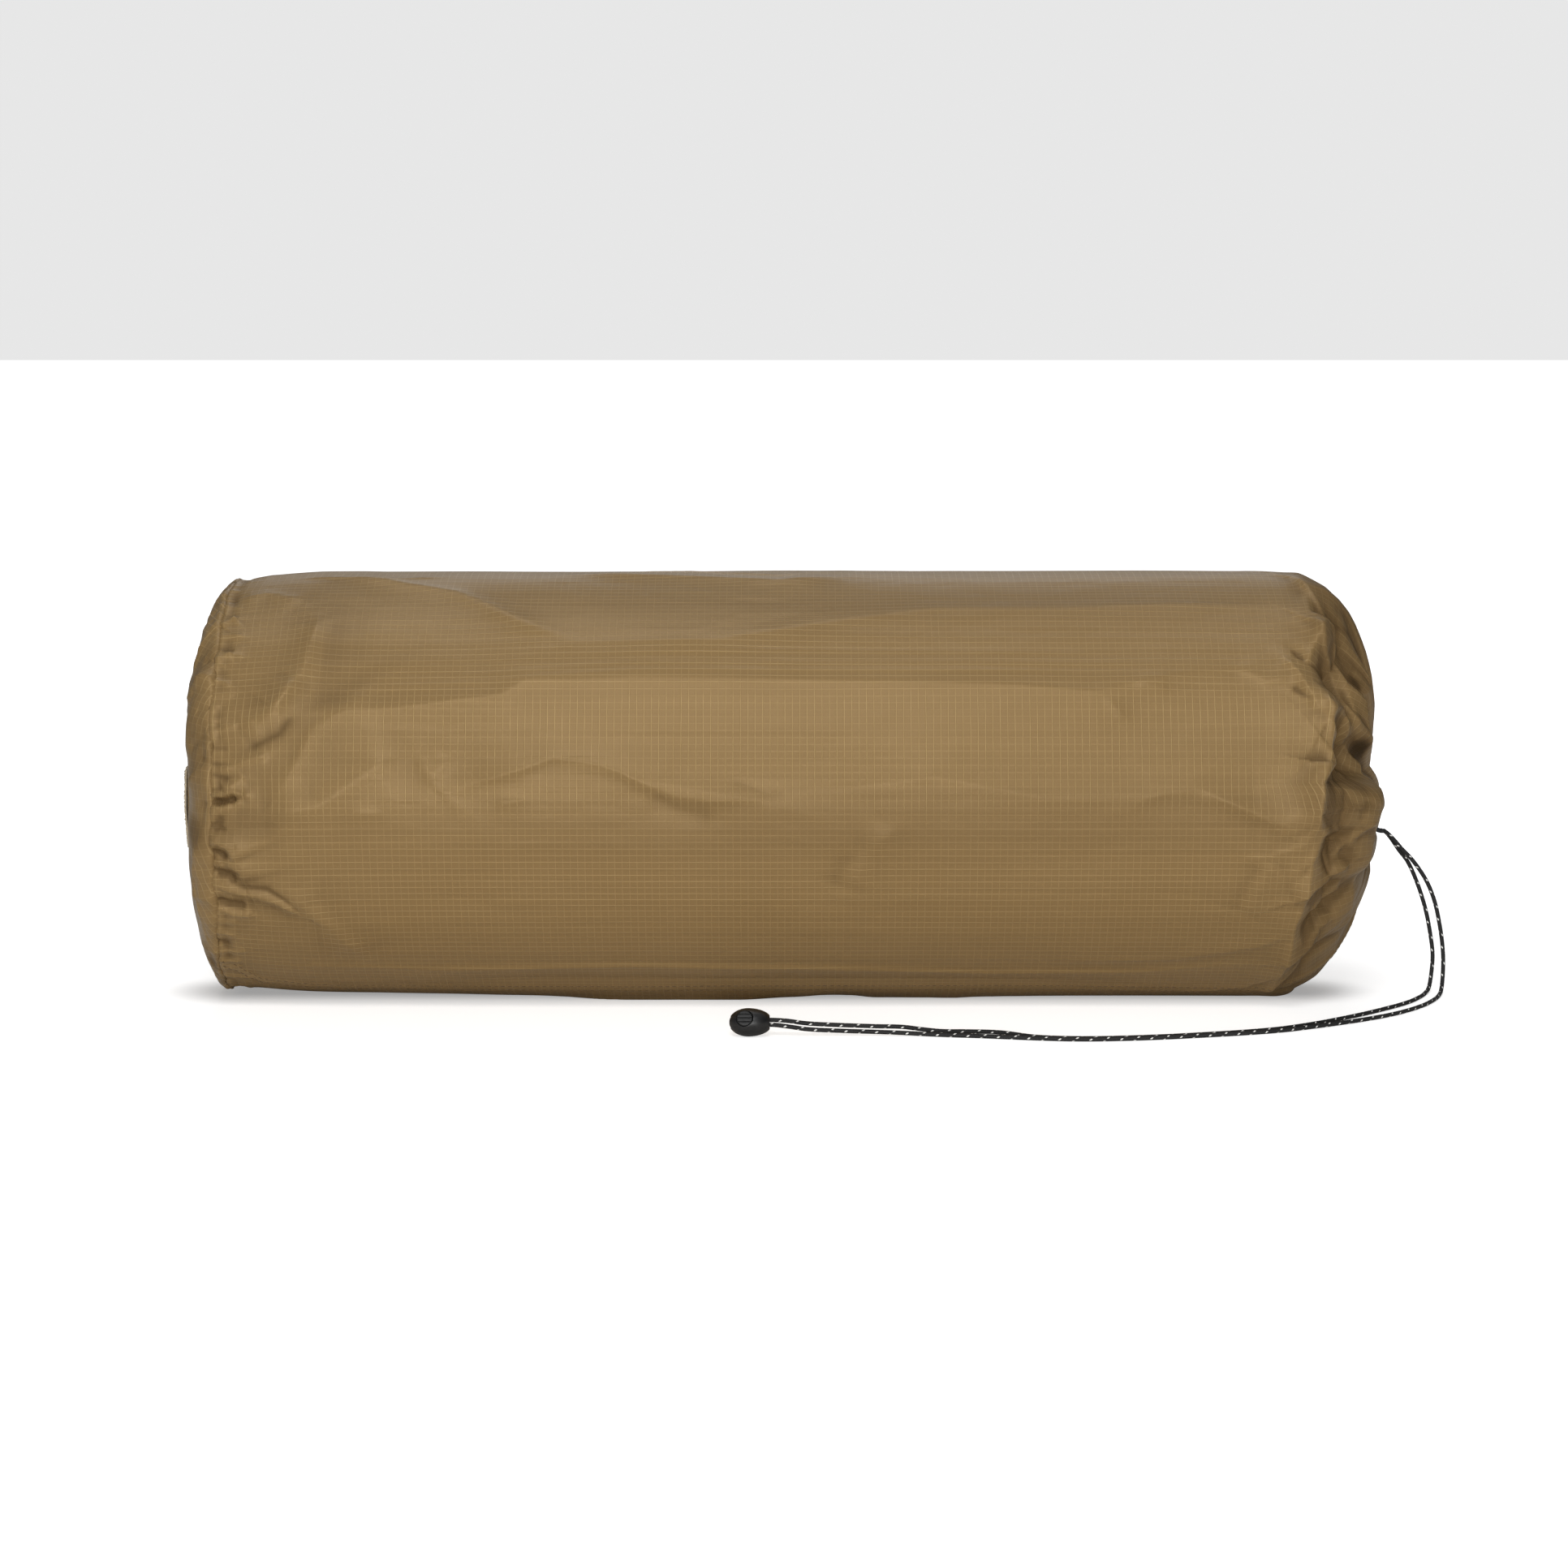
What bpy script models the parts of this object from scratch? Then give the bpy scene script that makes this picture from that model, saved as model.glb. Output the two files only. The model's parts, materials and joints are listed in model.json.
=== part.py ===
"""A cot tent packed away in its drawstring stuff sack, lying on its side.

The sack holds the rolled fly, the rolled inner tent, two folded shock-corded poles, six V stakes and
four guylines. +X runs from the sewn base to the gathered mouth, +Z is up, and the origin is on the
floor under the middle of the sack. Sizes are in metres.
"""

import math

import bmesh
import bpy
from mathutils import Matrix, Vector
from mathutils.geometry import interpolate_bezier

MM = 0.001

# Clearances
FIT_GAP = 0.3 * MM
SLIDE_GAP = 0.25 * MM
ROLL_SLACK = 0.6 * MM
TUBE_GAP = 0.4 * MM
LAYER_SLACK = 0.2 * MM

# Stuff sack
SACK_RADIUS = 100.8 * MM
SACK_WALL = 0.8 * MM
REST_FLATTENING = 0.9 * MM
BARREL_LENGTH = 501.2 * MM
BASE_SEAM_RADIUS = 97.5 * MM
BASE_TAPER = 46.0 * MM
BASE_DEPTH = 24.2 * MM
MOUTH_DEPTH = 42.5 * MM
MOUTH_FULLNESS = 2.5
MOUTH_DROP = 11.9 * MM
NECK_LENGTH = 3.5 * MM
PLEATS = 15
PLEAT_POINTS = 4
PLEAT_HEIGHT = 2.4 * MM
NECK_PLEAT_HEIGHT = 0.4 * MM

# Bound seam inside the base
BINDING_DEPTH = 8.0 * MM
BINDING_THICKNESS = 1.2 * MM

# Loop tape on the base
PATCH_WIDTH = 76.0 * MM
PATCH_HEIGHT = 36.0 * MM
PATCH_THICKNESS = 1.2 * MM
PATCH_DROP = 6.9 * MM

# Drawcord and its channel
CORD_DIAMETER = 2.0 * MM
CORD_LOOP_RADIUS = 9.5 * MM
CORD_PAIR_SPACING = 2.6 * MM
CHANNEL_BORE_RADIUS = 4.0 * MM
CHANNEL_WALL = 0.6 * MM
CHANNEL_GATHER = 0.88
BUTTONHOLE_HALF_ANGLE = math.radians(35)
CORD_EXIT_DROP = 10.5 * MM
CORD_EXIT_INSET = 0.5 * MM
CHANNEL_LEAD = ((2.9 * MM, 0.0, 0.0), (1.6 * MM, 0.3 * MM, 0.35 * MM), (0.5 * MM, 1.6 * MM, 1.2 * MM))
CHANNEL_POINTS = 25
HEM_LOOP_POINTS = 44
STRAND_POINTS = 80

# Cord lock
LOCK_RADIUS = 6.4 * MM
LOCK_NOSE_LENGTH = 7.9 * MM
LOCK_TAIL_LENGTH = 9.7 * MM
LOCK_TAIL_RADIUS = 3.0 * MM
LOCK_FLOOR_WALL = 1.1 * MM
LOCK_STRAND_SPACING = 2.3 * MM
LOCK_TILT = math.radians(30)
LOCK_PLACE = Vector((-16.9 * MM, -118.0 * MM, LOCK_RADIUS))
BUTTON_RADIUS = 3.6 * MM
BUTTON_OFFSET = -1.6 * MM
BUTTON_TRAVEL = 1.6 * MM
BUTTON_RECESS = 0.7 * MM
BUTTON_WEB = 0.9 * MM
BUTTON_CHAMFER = 0.4 * MM
BUTTON_GROOVES = 3
GROOVE_WIDTH = 0.7 * MM
GROOVE_DEPTH = 0.5 * MM
SPRING_WIRE = 0.35 * MM
SPRING_RADIUS = 2.3 * MM
SPRING_TURNS = 3.25
SPRING_TURN_POINTS = 10
BEAD_RADIUS = 2.4 * MM
BEAD_SEAT_DEPTH = 2.2 * MM
BEAD_CROWN = 0.8 * MM
BEAD_CROWN_EDGE = (1.8 * MM, 0.56 * MM)
NOSE_RIM = 0.25 * MM

# Rolled tent and fly
TENT_ROLL_RADIUS = 66.5 * MM
TENT_ROLL_START = -8.0 * MM
TENT_ROLL_PAST_BARREL = 10.8 * MM
TENT_ROLL_LENGTH = BARREL_LENGTH - TENT_ROLL_START + TENT_ROLL_PAST_BARREL
FLY_END_CLEARANCE = 14.9 * MM
FLY_ROLL_LENGTH = BARREL_LENGTH - BASE_TAPER - FIT_GAP - FLY_END_CLEARANCE
ROLL_TURNS = 4
TURN_POINTS = 20

# Poles
TUBE_RADIUS = 4.25 * MM
TUBE_WALL = 0.65 * MM
SECTION_LENGTH = 420.0 * MM
FERRULE_GAP = 0.15 * MM
FERRULE_WALL = 0.8 * MM
FERRULE_REACH = 36.0 * MM
FERRULE_HOLD = 12.0 * MM
SECTIONS = 7
SHOCK_CORD_DIAMETER = 2.4 * MM
TIP_SPIGOT = 15.0 * MM
TIP_COLLAR = 3.0 * MM
TIP_PIN_RADIUS = 2.5 * MM
TIP_PIN_NOSE_RADIUS = 1.5 * MM
TIP_PIN_LENGTH = 11.0 * MM
BAG_WALL = 0.6 * MM
CORE_ROOM = 7.0 * MM

# Stakes
STAKES = 6
STAKE_LENGTH = 180.0 * MM
STAKE_WING = 12.0 * MM
STAKE_SHEET = 1.2 * MM
STAKE_TIP = 22.0 * MM
STAKE_POINT = 0.8 * MM
STAKE_HOLE_RADIUS = 2.5 * MM
STAKE_HOLE_SHARE = 0.75
STAKE_BAG_HALF_WIDTH = 10.0 * MM
STAKE_BAG_LENGTH = 200.0 * MM
STAKE_BAG_START = -190.0 * MM

# Guylines
HANK_RADIUS = 6.5 * MM
HANK_WAIST = 5.0 * MM
HANK_LENGTH = 110.0 * MM
HANK_STATIONS = (-105.0 * MM, 105.0 * MM)
TENSIONER_LENGTH = 28.0 * MM
TENSIONER_WIDTH = 8.0 * MM
TENSIONER_SHEET = 2.0 * MM
TENSIONER_HOLE = 1.6 * MM
TENSIONER_PITCH = 8.0 * MM

# Sizes that follow from those above
SACK_HALF_LENGTH = (
    PATCH_THICKNESS + FIT_GAP + BASE_DEPTH + FIT_GAP + BARREL_LENGTH + MOUTH_DEPTH + NECK_LENGTH
) / 2
BASE_SEAM_X = -SACK_HALF_LENGTH + PATCH_THICKNESS + FIT_GAP + BASE_DEPTH + FIT_GAP
SHOULDER_X = BASE_SEAM_X + BARREL_LENGTH
NECK_X = SHOULDER_X + MOUTH_DEPTH
LIP_X = NECK_X + NECK_LENGTH
SACK_AXIS_Z = SACK_RADIUS - REST_FLATTENING
MOUTH_Z = SACK_AXIS_Z - MOUTH_DROP
CORD_RADIUS = CORD_DIAMETER / 2
CHANNEL_OUTER_RADIUS = CHANNEL_BORE_RADIUS + CHANNEL_WALL
CHANNEL_TIGHT_BORE = CHANNEL_OUTER_RADIUS * CHANNEL_GATHER - CHANNEL_WALL
CHANNEL_RADIUS = CORD_LOOP_RADIUS + CHANNEL_TIGHT_BORE * math.cos(math.pi / 8) - CORD_RADIUS - 2 * FIT_GAP
CHANNEL_X = LIP_X - CHANNEL_OUTER_RADIUS
NECK_RADIUS = CHANNEL_RADIUS + CHANNEL_OUTER_RADIUS + FIT_GAP + SACK_WALL + NECK_PLEAT_HEIGHT
CORD_EXIT_X = LIP_X - CORD_EXIT_INSET
CORD_EXIT_Z = MOUTH_Z - CORD_EXIT_DROP
BUNDLE_PITCH = 2 * TUBE_RADIUS + TUBE_GAP
BUNDLE_RADIUS = BUNDLE_PITCH + TUBE_RADIUS
BUNDLE_Y = BUNDLE_RADIUS + FIT_GAP / 2
POLE_BAG_END_RADIUS = BUNDLE_RADIUS + FIT_GAP + BAG_WALL
CORE_RADIUS = BUNDLE_Y + POLE_BAG_END_RADIUS + CORE_ROOM
FLY_ROLL_RADIUS = SACK_RADIUS - SACK_WALL - REST_FLATTENING / 2 - FIT_GAP - ROLL_SLACK
ROLL_Z = SACK_WALL + FIT_GAP + FLY_ROLL_RADIUS
CORD_BEND = BUNDLE_PITCH / 2
BUNDLE_REACH = SECTION_LENGTH / 2 + FERRULE_REACH + CORD_BEND + SHOCK_CORD_DIAMETER
BUTTON_AXIS = Vector((0.0, -math.cos(LOCK_TILT), math.sin(LOCK_TILT)))
STRAND_ROW = Vector((0.0, math.sin(LOCK_TILT), math.cos(LOCK_TILT)))
PASSAGE_HALF_HEIGHT = CORD_RADIUS + SLIDE_GAP
PASSAGE_HALF_WIDTH = LOCK_STRAND_SPACING / 2 + PASSAGE_HALF_HEIGHT
BUTTON_TOP = LOCK_RADIUS - BUTTON_RECESS
BUTTON_BOTTOM = -PASSAGE_HALF_HEIGHT - BUTTON_WEB
LOCK_TAIL_X = LOCK_PLACE.x + LOCK_TAIL_LENGTH
LOCK_NOSE_X = LOCK_PLACE.x - LOCK_NOSE_LENGTH
BEAD_SEAT_X = LOCK_NOSE_X + BEAD_SEAT_DEPTH

# Free strands, as points chosen along the way from the mouth to the cord lock
FRONT_ROUTE = (
    (0.2918, -0.0014, 0.0758),
    (0.2955, -0.0017, 0.0712),
    (0.2998, -0.0020, 0.0640),
    (0.3065, -0.0024, 0.0545),
    (0.3105, -0.0027, 0.0455),
    (0.3135, -0.0030, 0.0335),
    (0.3155, -0.0036, 0.0190),
    (0.3153, -0.0056, 0.0085),
    (0.3138, -0.0110, 0.0026),
    (0.3110, -0.0205, 0.0012),
    (0.3055, -0.0345, 0.0011),
    (0.2974, -0.0492, 0.0011),
    (0.2826, -0.0679, 0.0011),
    (0.2674, -0.0815, 0.0011),
    (0.2408, -0.1000, 0.0011),
    (0.2225, -0.1105, 0.0011),
    (0.1853, -0.1225, 0.0011),
    (0.1561, -0.1290, 0.0011),
    (0.1313, -0.1310, 0.0011),
    (0.1120, -0.1285, 0.0011),
    (0.0990, -0.1257, 0.0011),
    (0.0850, -0.1228, 0.0011),
    (0.0740, -0.1210, 0.0011),
    (0.0629, -0.1190, 0.0012),
    (0.0540, -0.1180, 0.0015),
    (0.0410, -0.1174, 0.0019),
    (0.0250, -0.1174, 0.0024),
    (0.0090, -0.1179, 0.0033),
    (0.0000, -0.1184, 0.0047),
)
REAR_ROUTE = (
    (0.2912, 0.0016, 0.0756),
    (0.2945, 0.0022, 0.0703),
    (0.2985, 0.0028, 0.0625),
    (0.3035, 0.0034, 0.0520),
    (0.3080, 0.0036, 0.0385),
    (0.3106, 0.0036, 0.0260),
    (0.3117, 0.0030, 0.0170),
    (0.3108, 0.0005, 0.0080),
    (0.3089, -0.0050, 0.0026),
    (0.3060, -0.0130, 0.0012),
    (0.3000, -0.0270, 0.0011),
    (0.2923, -0.0400, 0.0011),
    (0.2767, -0.0590, 0.0011),
    (0.2620, -0.0745, 0.0011),
    (0.2390, -0.0950, 0.0011),
    (0.2210, -0.1070, 0.0011),
    (0.1848, -0.1198, 0.0011),
    (0.1560, -0.1263, 0.0011),
    (0.1313, -0.1283, 0.0011),
    (0.1130, -0.1252, 0.0011),
    (0.0957, -0.1140, 0.0011),
    (0.0818, -0.1125, 0.0012),
    (0.0700, -0.1138, 0.0016),
    (0.0600, -0.1148, 0.0028),
    (0.0530, -0.1160, 0.0039),
    (0.0410, -0.1170, 0.0044),
    (0.0250, -0.1168, 0.0049),
    (0.0090, -0.1171, 0.0058),
    (0.0000, -0.1172, 0.0070),
)

# How finely the round shapes are built
SWELL_STEPS = (0.0, 0.25, 0.6, 1.0)
MOUTH_STEPS = 7
BASE_STEPS = 6
BASE_SIDES = 40
PATCH_CELLS = (8, 4)
ROUTE_STEPS = 24
LOCK_STEPS = 6
LOCK_SIDES = 24
BUTTON_SIDES = 20
BEAD_SIDES = 16
POLE_SIDES = 8
CORD_BEND_STEPS = 6
HANK_SIDES = 10

# Finishes: colour, roughness, metallic
FINISHES = {
    "coyote_ripstop": ((0.263, 0.178, 0.080), 0.55, 0.0),
    "fly_cloth": ((0.235, 0.165, 0.082), 0.60, 0.0),
    "tent_cloth": ((0.300, 0.235, 0.140), 0.70, 0.0),
    "loop_tape": ((0.520, 0.440, 0.300), 0.95, 0.0),
    "black_cord": ((0.012, 0.012, 0.012), 0.75, 0.0),
    "black_acetal": ((0.010, 0.010, 0.011), 0.28, 0.0),
    "spring_steel": ((0.560, 0.560, 0.570), 0.30, 1.0),
    "bare_aluminium": ((0.640, 0.650, 0.660), 0.32, 1.0),
    "anodised_stake": ((0.420, 0.110, 0.060), 0.38, 1.0),
}


def clear_scene():
    """Removes what the scene holds at the start."""
    for obj in list(bpy.data.objects):
        bpy.data.objects.remove(obj, do_unlink=True)


def new_collection(name):
    """A collection linked to the scene."""
    collection = bpy.data.collections.new(name)
    bpy.context.scene.collection.children.link(collection)
    return collection


def dress(obj, finish):
    """Gives a piece its own plain material of the named finish."""
    colour, roughness, metallic = FINISHES[finish]
    material = bpy.data.materials.new(obj.name)
    material.use_nodes = True
    shader = material.node_tree.nodes["Principled BSDF"]
    shader.inputs["Base Color"].default_value = (*colour, 1.0)
    shader.inputs["Roughness"].default_value = roughness
    shader.inputs["Metallic"].default_value = metallic
    obj.data.materials.clear()
    obj.data.materials.append(material)


def place(name, data, collection, finish=None, matrix=None):
    """Links a new object, dressed and placed."""
    obj = bpy.data.objects.new(name, data)
    collection.objects.link(obj)
    if matrix is not None:
        obj.matrix_world = matrix
    if finish:
        dress(obj, finish)
    return obj


def along_x(x=0.0, y=0.0, z=0.0):
    """Placement that lays a piece's own Z axis along +X at the given point."""
    return Matrix.Translation((x, y, z)) @ Matrix.Rotation(math.pi / 2, 4, "Y")


def plain_mesh(obj):
    """Turns an object, with its modifiers, into a plain welded mesh, and removes the object."""
    bpy.context.view_layer.update()
    graph = bpy.context.evaluated_depsgraph_get()
    mesh = bpy.data.meshes.new_from_object(obj.evaluated_get(graph))
    shape = bmesh.new()
    shape.from_mesh(mesh)
    bmesh.ops.remove_doubles(shape, verts=shape.verts, dist=0.001 * MM)
    bmesh.ops.recalc_face_normals(shape, faces=shape.faces)
    shape.to_mesh(mesh)
    shape.free()
    bpy.data.objects.remove(obj, do_unlink=True)
    return mesh


def turned(name, profile, steps, collection, finish=None, matrix=None, ring=False):
    """Solid turned about its own Z axis from (radius, height) pairs, the outer side running down."""
    edges = [(i, i + 1) for i in range(len(profile) - 1)]
    if ring:
        edges.append((len(profile) - 1, 0))
    mesh = bpy.data.meshes.new(name)
    mesh.from_pydata([(radius, 0.0, height) for radius, height in profile], edges, [])
    obj = place(name, mesh, collection, finish, matrix)
    screw = obj.modifiers.new("Turn", "SCREW")
    screw.steps = steps
    screw.render_steps = steps
    screw.use_merge_vertices = True
    screw.merge_threshold = 0.001 * MM
    screw.use_smooth_shade = True
    return obj


def tube(name, points, radius, collection, finish=None, resolution=2, caps=True, taper=None):
    """Round tube along a line of points."""
    curve = bpy.data.curves.new(name, "CURVE")
    curve.dimensions = "3D"
    curve.bevel_depth = radius
    curve.bevel_resolution = resolution
    curve.use_fill_caps = caps
    spline = curve.splines.new("POLY")
    spline.points.add(len(points) - 1)
    for i, point in enumerate(points):
        spline.points[i].co = (*point, 1.0)
        spline.points[i].radius = taper[i] if taper else 1.0
    return place(name, curve, collection, finish)


def flat_plate(name, outline, holes, thickness, collection, finish=None, matrix=None):
    """Plate with a closed outline and round holes, half its thickness to each side of its plane."""
    curve = bpy.data.curves.new(name, "CURVE")
    curve.dimensions = "2D"
    curve.fill_mode = "BOTH"
    curve.extrude = thickness / 2
    for loop in [outline, *holes]:
        spline = curve.splines.new("POLY")
        spline.points.add(len(loop) - 1)
        for i, (x, y) in enumerate(loop):
            spline.points[i].co = (x, y, 0.0, 1.0)
        spline.use_cyclic_u = True
    return place(name, curve, collection, finish, matrix)


def circle_points(x, y, radius, count):
    """Points of a circle in a plane."""
    turn = 2 * math.pi / count
    return [(x + radius * math.cos(i * turn), y + radius * math.sin(i * turn)) for i in range(count)]


def stadium_points(half_width, radius, count):
    """Outline of two half circles whose centres are half_width either side of the middle, in Y."""
    points = []
    for side in (1, -1):
        for i in range(count + 1):
            angle = math.pi * i / count
            points.append((side * radius * math.cos(angle), side * (half_width + radius * math.sin(angle))))
    return points


def loft(name, rings, collection, finish, cap_start=False):
    """Skin over a row of rings that have the same number of points."""
    shape = bmesh.new()
    rows = [[shape.verts.new(point) for point in ring] for ring in rings]
    count = len(rows[0])
    for near, far in zip(rows, rows[1:]):
        for i in range(count):
            j = (i + 1) % count
            shape.faces.new((near[i], far[i], far[j], near[j]))
    if cap_start:
        shape.faces.new(rows[0])
    bmesh.ops.recalc_face_normals(shape, faces=shape.faces)
    mesh = bpy.data.meshes.new(name)
    shape.to_mesh(mesh)
    shape.free()
    mesh.shade_smooth()
    return place(name, mesh, collection, finish)


def thicken(obj, thickness, offset=-1.0):
    """Gives an open surface its wall, to the inside unless the offset says otherwise."""
    solidify = obj.modifiers.new("Wall", "SOLIDIFY")
    solidify.thickness = thickness
    solidify.offset = offset
    solidify.use_even_offset = True
    return obj


def cut(obj, cutter):
    """Cuts one closed shape out of another."""
    boolean = obj.modifiers.new("Cut " + cutter.name, "BOOLEAN")
    boolean.operation = "DIFFERENCE"
    boolean.solver = "EXACT"
    boolean.object = cutter
    cutter.hide_render = True
    cutter.display_type = "WIRE"


def smooth_route(knots, start_way, end_way, count):
    """Evenly spaced points on a smooth curve through the knots, with a given direction at each end."""
    ways = [Vector(start_way).normalized()]
    for before, knot, after in zip(knots, knots[1:], knots[2:]):
        ways.append(((knot - before).normalized() + (after - knot).normalized()).normalized())
    ways.append(Vector(end_way).normalized())
    dense = [knots[0]]
    for i in range(len(knots) - 1):
        third = (knots[i + 1] - knots[i]).length / 3
        handle = knots[i] + ways[i] * third
        next_handle = knots[i + 1] - ways[i + 1] * third
        dense += interpolate_bezier(knots[i], handle, next_handle, knots[i + 1], ROUTE_STEPS)[1:]
    lengths = [0.0]
    for a, b in zip(dense, dense[1:]):
        lengths.append(lengths[-1] + (b - a).length)
    points = []
    j = 0
    for i in range(count):
        goal = lengths[-1] * i / (count - 1)
        while j < len(lengths) - 2 and lengths[j + 1] < goal:
            j += 1
        share = (goal - lengths[j]) / (lengths[j + 1] - lengths[j])
        points.append(dense[j].lerp(dense[j + 1], min(share, 1.0)))
    return points


def mouth_curve(turn):
    """(share of the mouth's depth, share of the sack's radius) at an angle from shoulder to centre."""
    power = 2 / MOUTH_FULLNESS
    return math.sin(turn) ** power, math.cos(turn) ** power


def sack_ring(x, radius, centre_z, pleat):
    """One ring of the sack: pleated, and pressed flat where it meets the floor."""
    count = PLEATS * PLEAT_POINTS
    ring = []
    for i in range(count):
        angle = 2 * math.pi * i / count - math.pi / 2
        reach = radius + pleat * math.cos(PLEATS * (angle + math.pi / 2))
        y = reach * math.cos(angle)
        ring.append((x, y, max(centre_z + reach * math.sin(angle), 0.0)))
    return ring


def build_sack(parts):
    """The sewn barrel of the sack, from its base seam to the gathered lip of its mouth."""
    rings = []
    for share in SWELL_STEPS:
        swell = math.sin(share * math.pi / 2)
        radius = BASE_SEAM_RADIUS + (SACK_RADIUS - BASE_SEAM_RADIUS) * swell
        rings.append(sack_ring(BASE_SEAM_X + BASE_TAPER * share, radius, SACK_AXIS_Z, 0.0))
    rings.append(sack_ring(SHOULDER_X, SACK_RADIUS, SACK_AXIS_Z, 0.0))
    last = math.acos((NECK_RADIUS / SACK_RADIUS) ** (MOUTH_FULLNESS / 2))
    for i in range(1, MOUTH_STEPS + 1):
        turn = last * i / MOUTH_STEPS
        depth, share = mouth_curve(turn)
        depth_scale = MOUTH_DEPTH / mouth_curve(last)[0]
        fade = math.sin(math.pi * i / (MOUTH_STEPS + 1))
        pleat = PLEAT_HEIGHT * fade if i < MOUTH_STEPS else NECK_PLEAT_HEIGHT
        centre = SACK_AXIS_Z - MOUTH_DROP * (1 - share) / (1 - NECK_RADIUS / SACK_RADIUS)
        rings.append(sack_ring(SHOULDER_X + depth * depth_scale, SACK_RADIUS * share, centre, pleat))
    rings.append(sack_ring(LIP_X, NECK_RADIUS, MOUTH_Z, NECK_PLEAT_HEIGHT))
    return thicken(loft("sack_body", rings, parts, "coyote_ripstop"), SACK_WALL)


def base_bulge(radius):
    """How far the base stands out beyond its seam at a distance from its middle."""
    return BASE_DEPTH * math.sqrt(max(1 - (radius / BASE_SEAM_RADIUS) ** 2, 0.0))


def build_base(parts):
    """The round base with its bulge, the bound seam behind it and the loop tape sewn on it."""
    rim = BASE_SEAM_X - FIT_GAP
    outside = []
    inside = []
    for i in range(BASE_STEPS + 1):
        turn = math.pi / 2 * i / BASE_STEPS
        outside.append((BASE_SEAM_RADIUS * math.cos(turn), -BASE_DEPTH * math.sin(turn)))
        inner_radius = (BASE_SEAM_RADIUS - SACK_WALL) * math.cos(turn)
        inside.append((inner_radius, -(BASE_DEPTH - SACK_WALL) * math.sin(turn)))
    outside[-1] = (0.0, outside[-1][1])
    inside[-1] = (0.0, inside[-1][1])
    seat = along_x(rim, 0.0, SACK_AXIS_Z)
    turned("base_panel", inside[::-1] + outside, BASE_SIDES, parts, "coyote_ripstop", seat)

    outer = BASE_SEAM_RADIUS - SACK_WALL - FIT_GAP
    inner = outer - BINDING_DEPTH
    binding = [(outer, BINDING_THICKNESS), (outer, 0.0), (inner, 0.0), (inner, BINDING_THICKNESS)]
    seat = along_x(BASE_SEAM_X - FIT_GAP / 2, 0.0, SACK_AXIS_Z)
    turned("base_seam_binding", binding, BASE_SIDES, parts, "black_cord", seat, ring=True)

    shape = bmesh.new()
    bmesh.ops.create_grid(shape, x_segments=PATCH_CELLS[0], y_segments=PATCH_CELLS[1], size=0.5)
    for vert in shape.verts:
        y = vert.co.x * PATCH_WIDTH
        z = vert.co.y * PATCH_HEIGHT - PATCH_DROP
        vert.co = (rim - base_bulge(math.hypot(y, z)) - FIT_GAP, y, z + SACK_AXIS_Z)
    mesh = bpy.data.meshes.new("loop_patch")
    shape.to_mesh(mesh)
    shape.free()
    patch = place("loop_patch", mesh, parts, "loop_tape")
    return thicken(patch, PATCH_THICKNESS, 1.0 if mesh.polygons[0].normal.x < 0 else -1.0)


def mouth_circle(radius, x, start, end):
    """Points on an arc about the mouth's centre; angles are counted from straight down."""
    points = []
    for i in range(CHANNEL_POINTS):
        angle = start + (end - start) * i / (CHANNEL_POINTS - 1)
        points.append(Vector((x, -radius * math.sin(angle), MOUTH_Z - radius * math.cos(angle))))
    return points


def build_mouth(parts):
    """The gathered channel round the mouth and the stretch of drawcord that runs inside it."""
    start = BUTTONHOLE_HALF_ANGLE
    end = 2 * math.pi - BUTTONHOLE_HALF_ANGLE
    ring = mouth_circle(CHANNEL_RADIUS, CHANNEL_X, start, end)
    gathers = [1.0 if i % 2 else CHANNEL_GATHER for i in range(CHANNEL_POINTS)]
    channel = tube("channel", ring, CHANNEL_OUTER_RADIUS, parts, None, 2, False, gathers)
    mesh = plain_mesh(channel)
    mesh.shade_smooth()
    thicken(place("mouth_hem", mesh, parts, "coyote_ripstop"), CHANNEL_WALL)

    loop = mouth_circle(CORD_LOOP_RADIUS, CHANNEL_X, start, end)
    half = CORD_PAIR_SPACING / 2
    lead = []
    for x, y, z in CHANNEL_LEAD:
        lead.append(Vector((CHANNEL_X + x, -half - y, CORD_EXIT_Z + z)))
    rear = [Vector((point.x, -point.y, point.z)) for point in reversed(lead)]
    points = smooth_route([*lead, *loop, *rear], (-1, 0, 0), (1, 0, 0), HEM_LOOP_POINTS)
    ends = [Vector((CORD_EXIT_X, side * half, CORD_EXIT_Z)) for side in (-1, 1)]
    tube("drawcord_hem_loop", [ends[0], *points, ends[1]], CORD_RADIUS, parts, "black_cord")


def strand_in_lock(side, x):
    """Where a strand lies in the lock's passage."""
    row = LOCK_PLACE + STRAND_ROW * (side * LOCK_STRAND_SPACING / 2)
    return Vector((x, row.y, row.z))


def build_strand(name, route, side, mouth_side, parts):
    """One free strand of the drawcord, from the mouth to its end in the cord lock."""
    start = Vector((CORD_EXIT_X + FIT_GAP, mouth_side * CORD_PAIR_SPACING / 2, CORD_EXIT_Z))
    lead = start + Vector((CORD_DIAMETER, 0.0, 0.0))
    knots = [lead, *(Vector(point) for point in route), strand_in_lock(side, LOCK_TAIL_X)]
    points = smooth_route(knots, (1, 0, 0), (-1, 0, 0), STRAND_POINTS - 2)
    points = [start, *points, strand_in_lock(side, BEAD_SEAT_X)]
    tube(name, points, CORD_RADIUS, parts, "black_cord")


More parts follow.
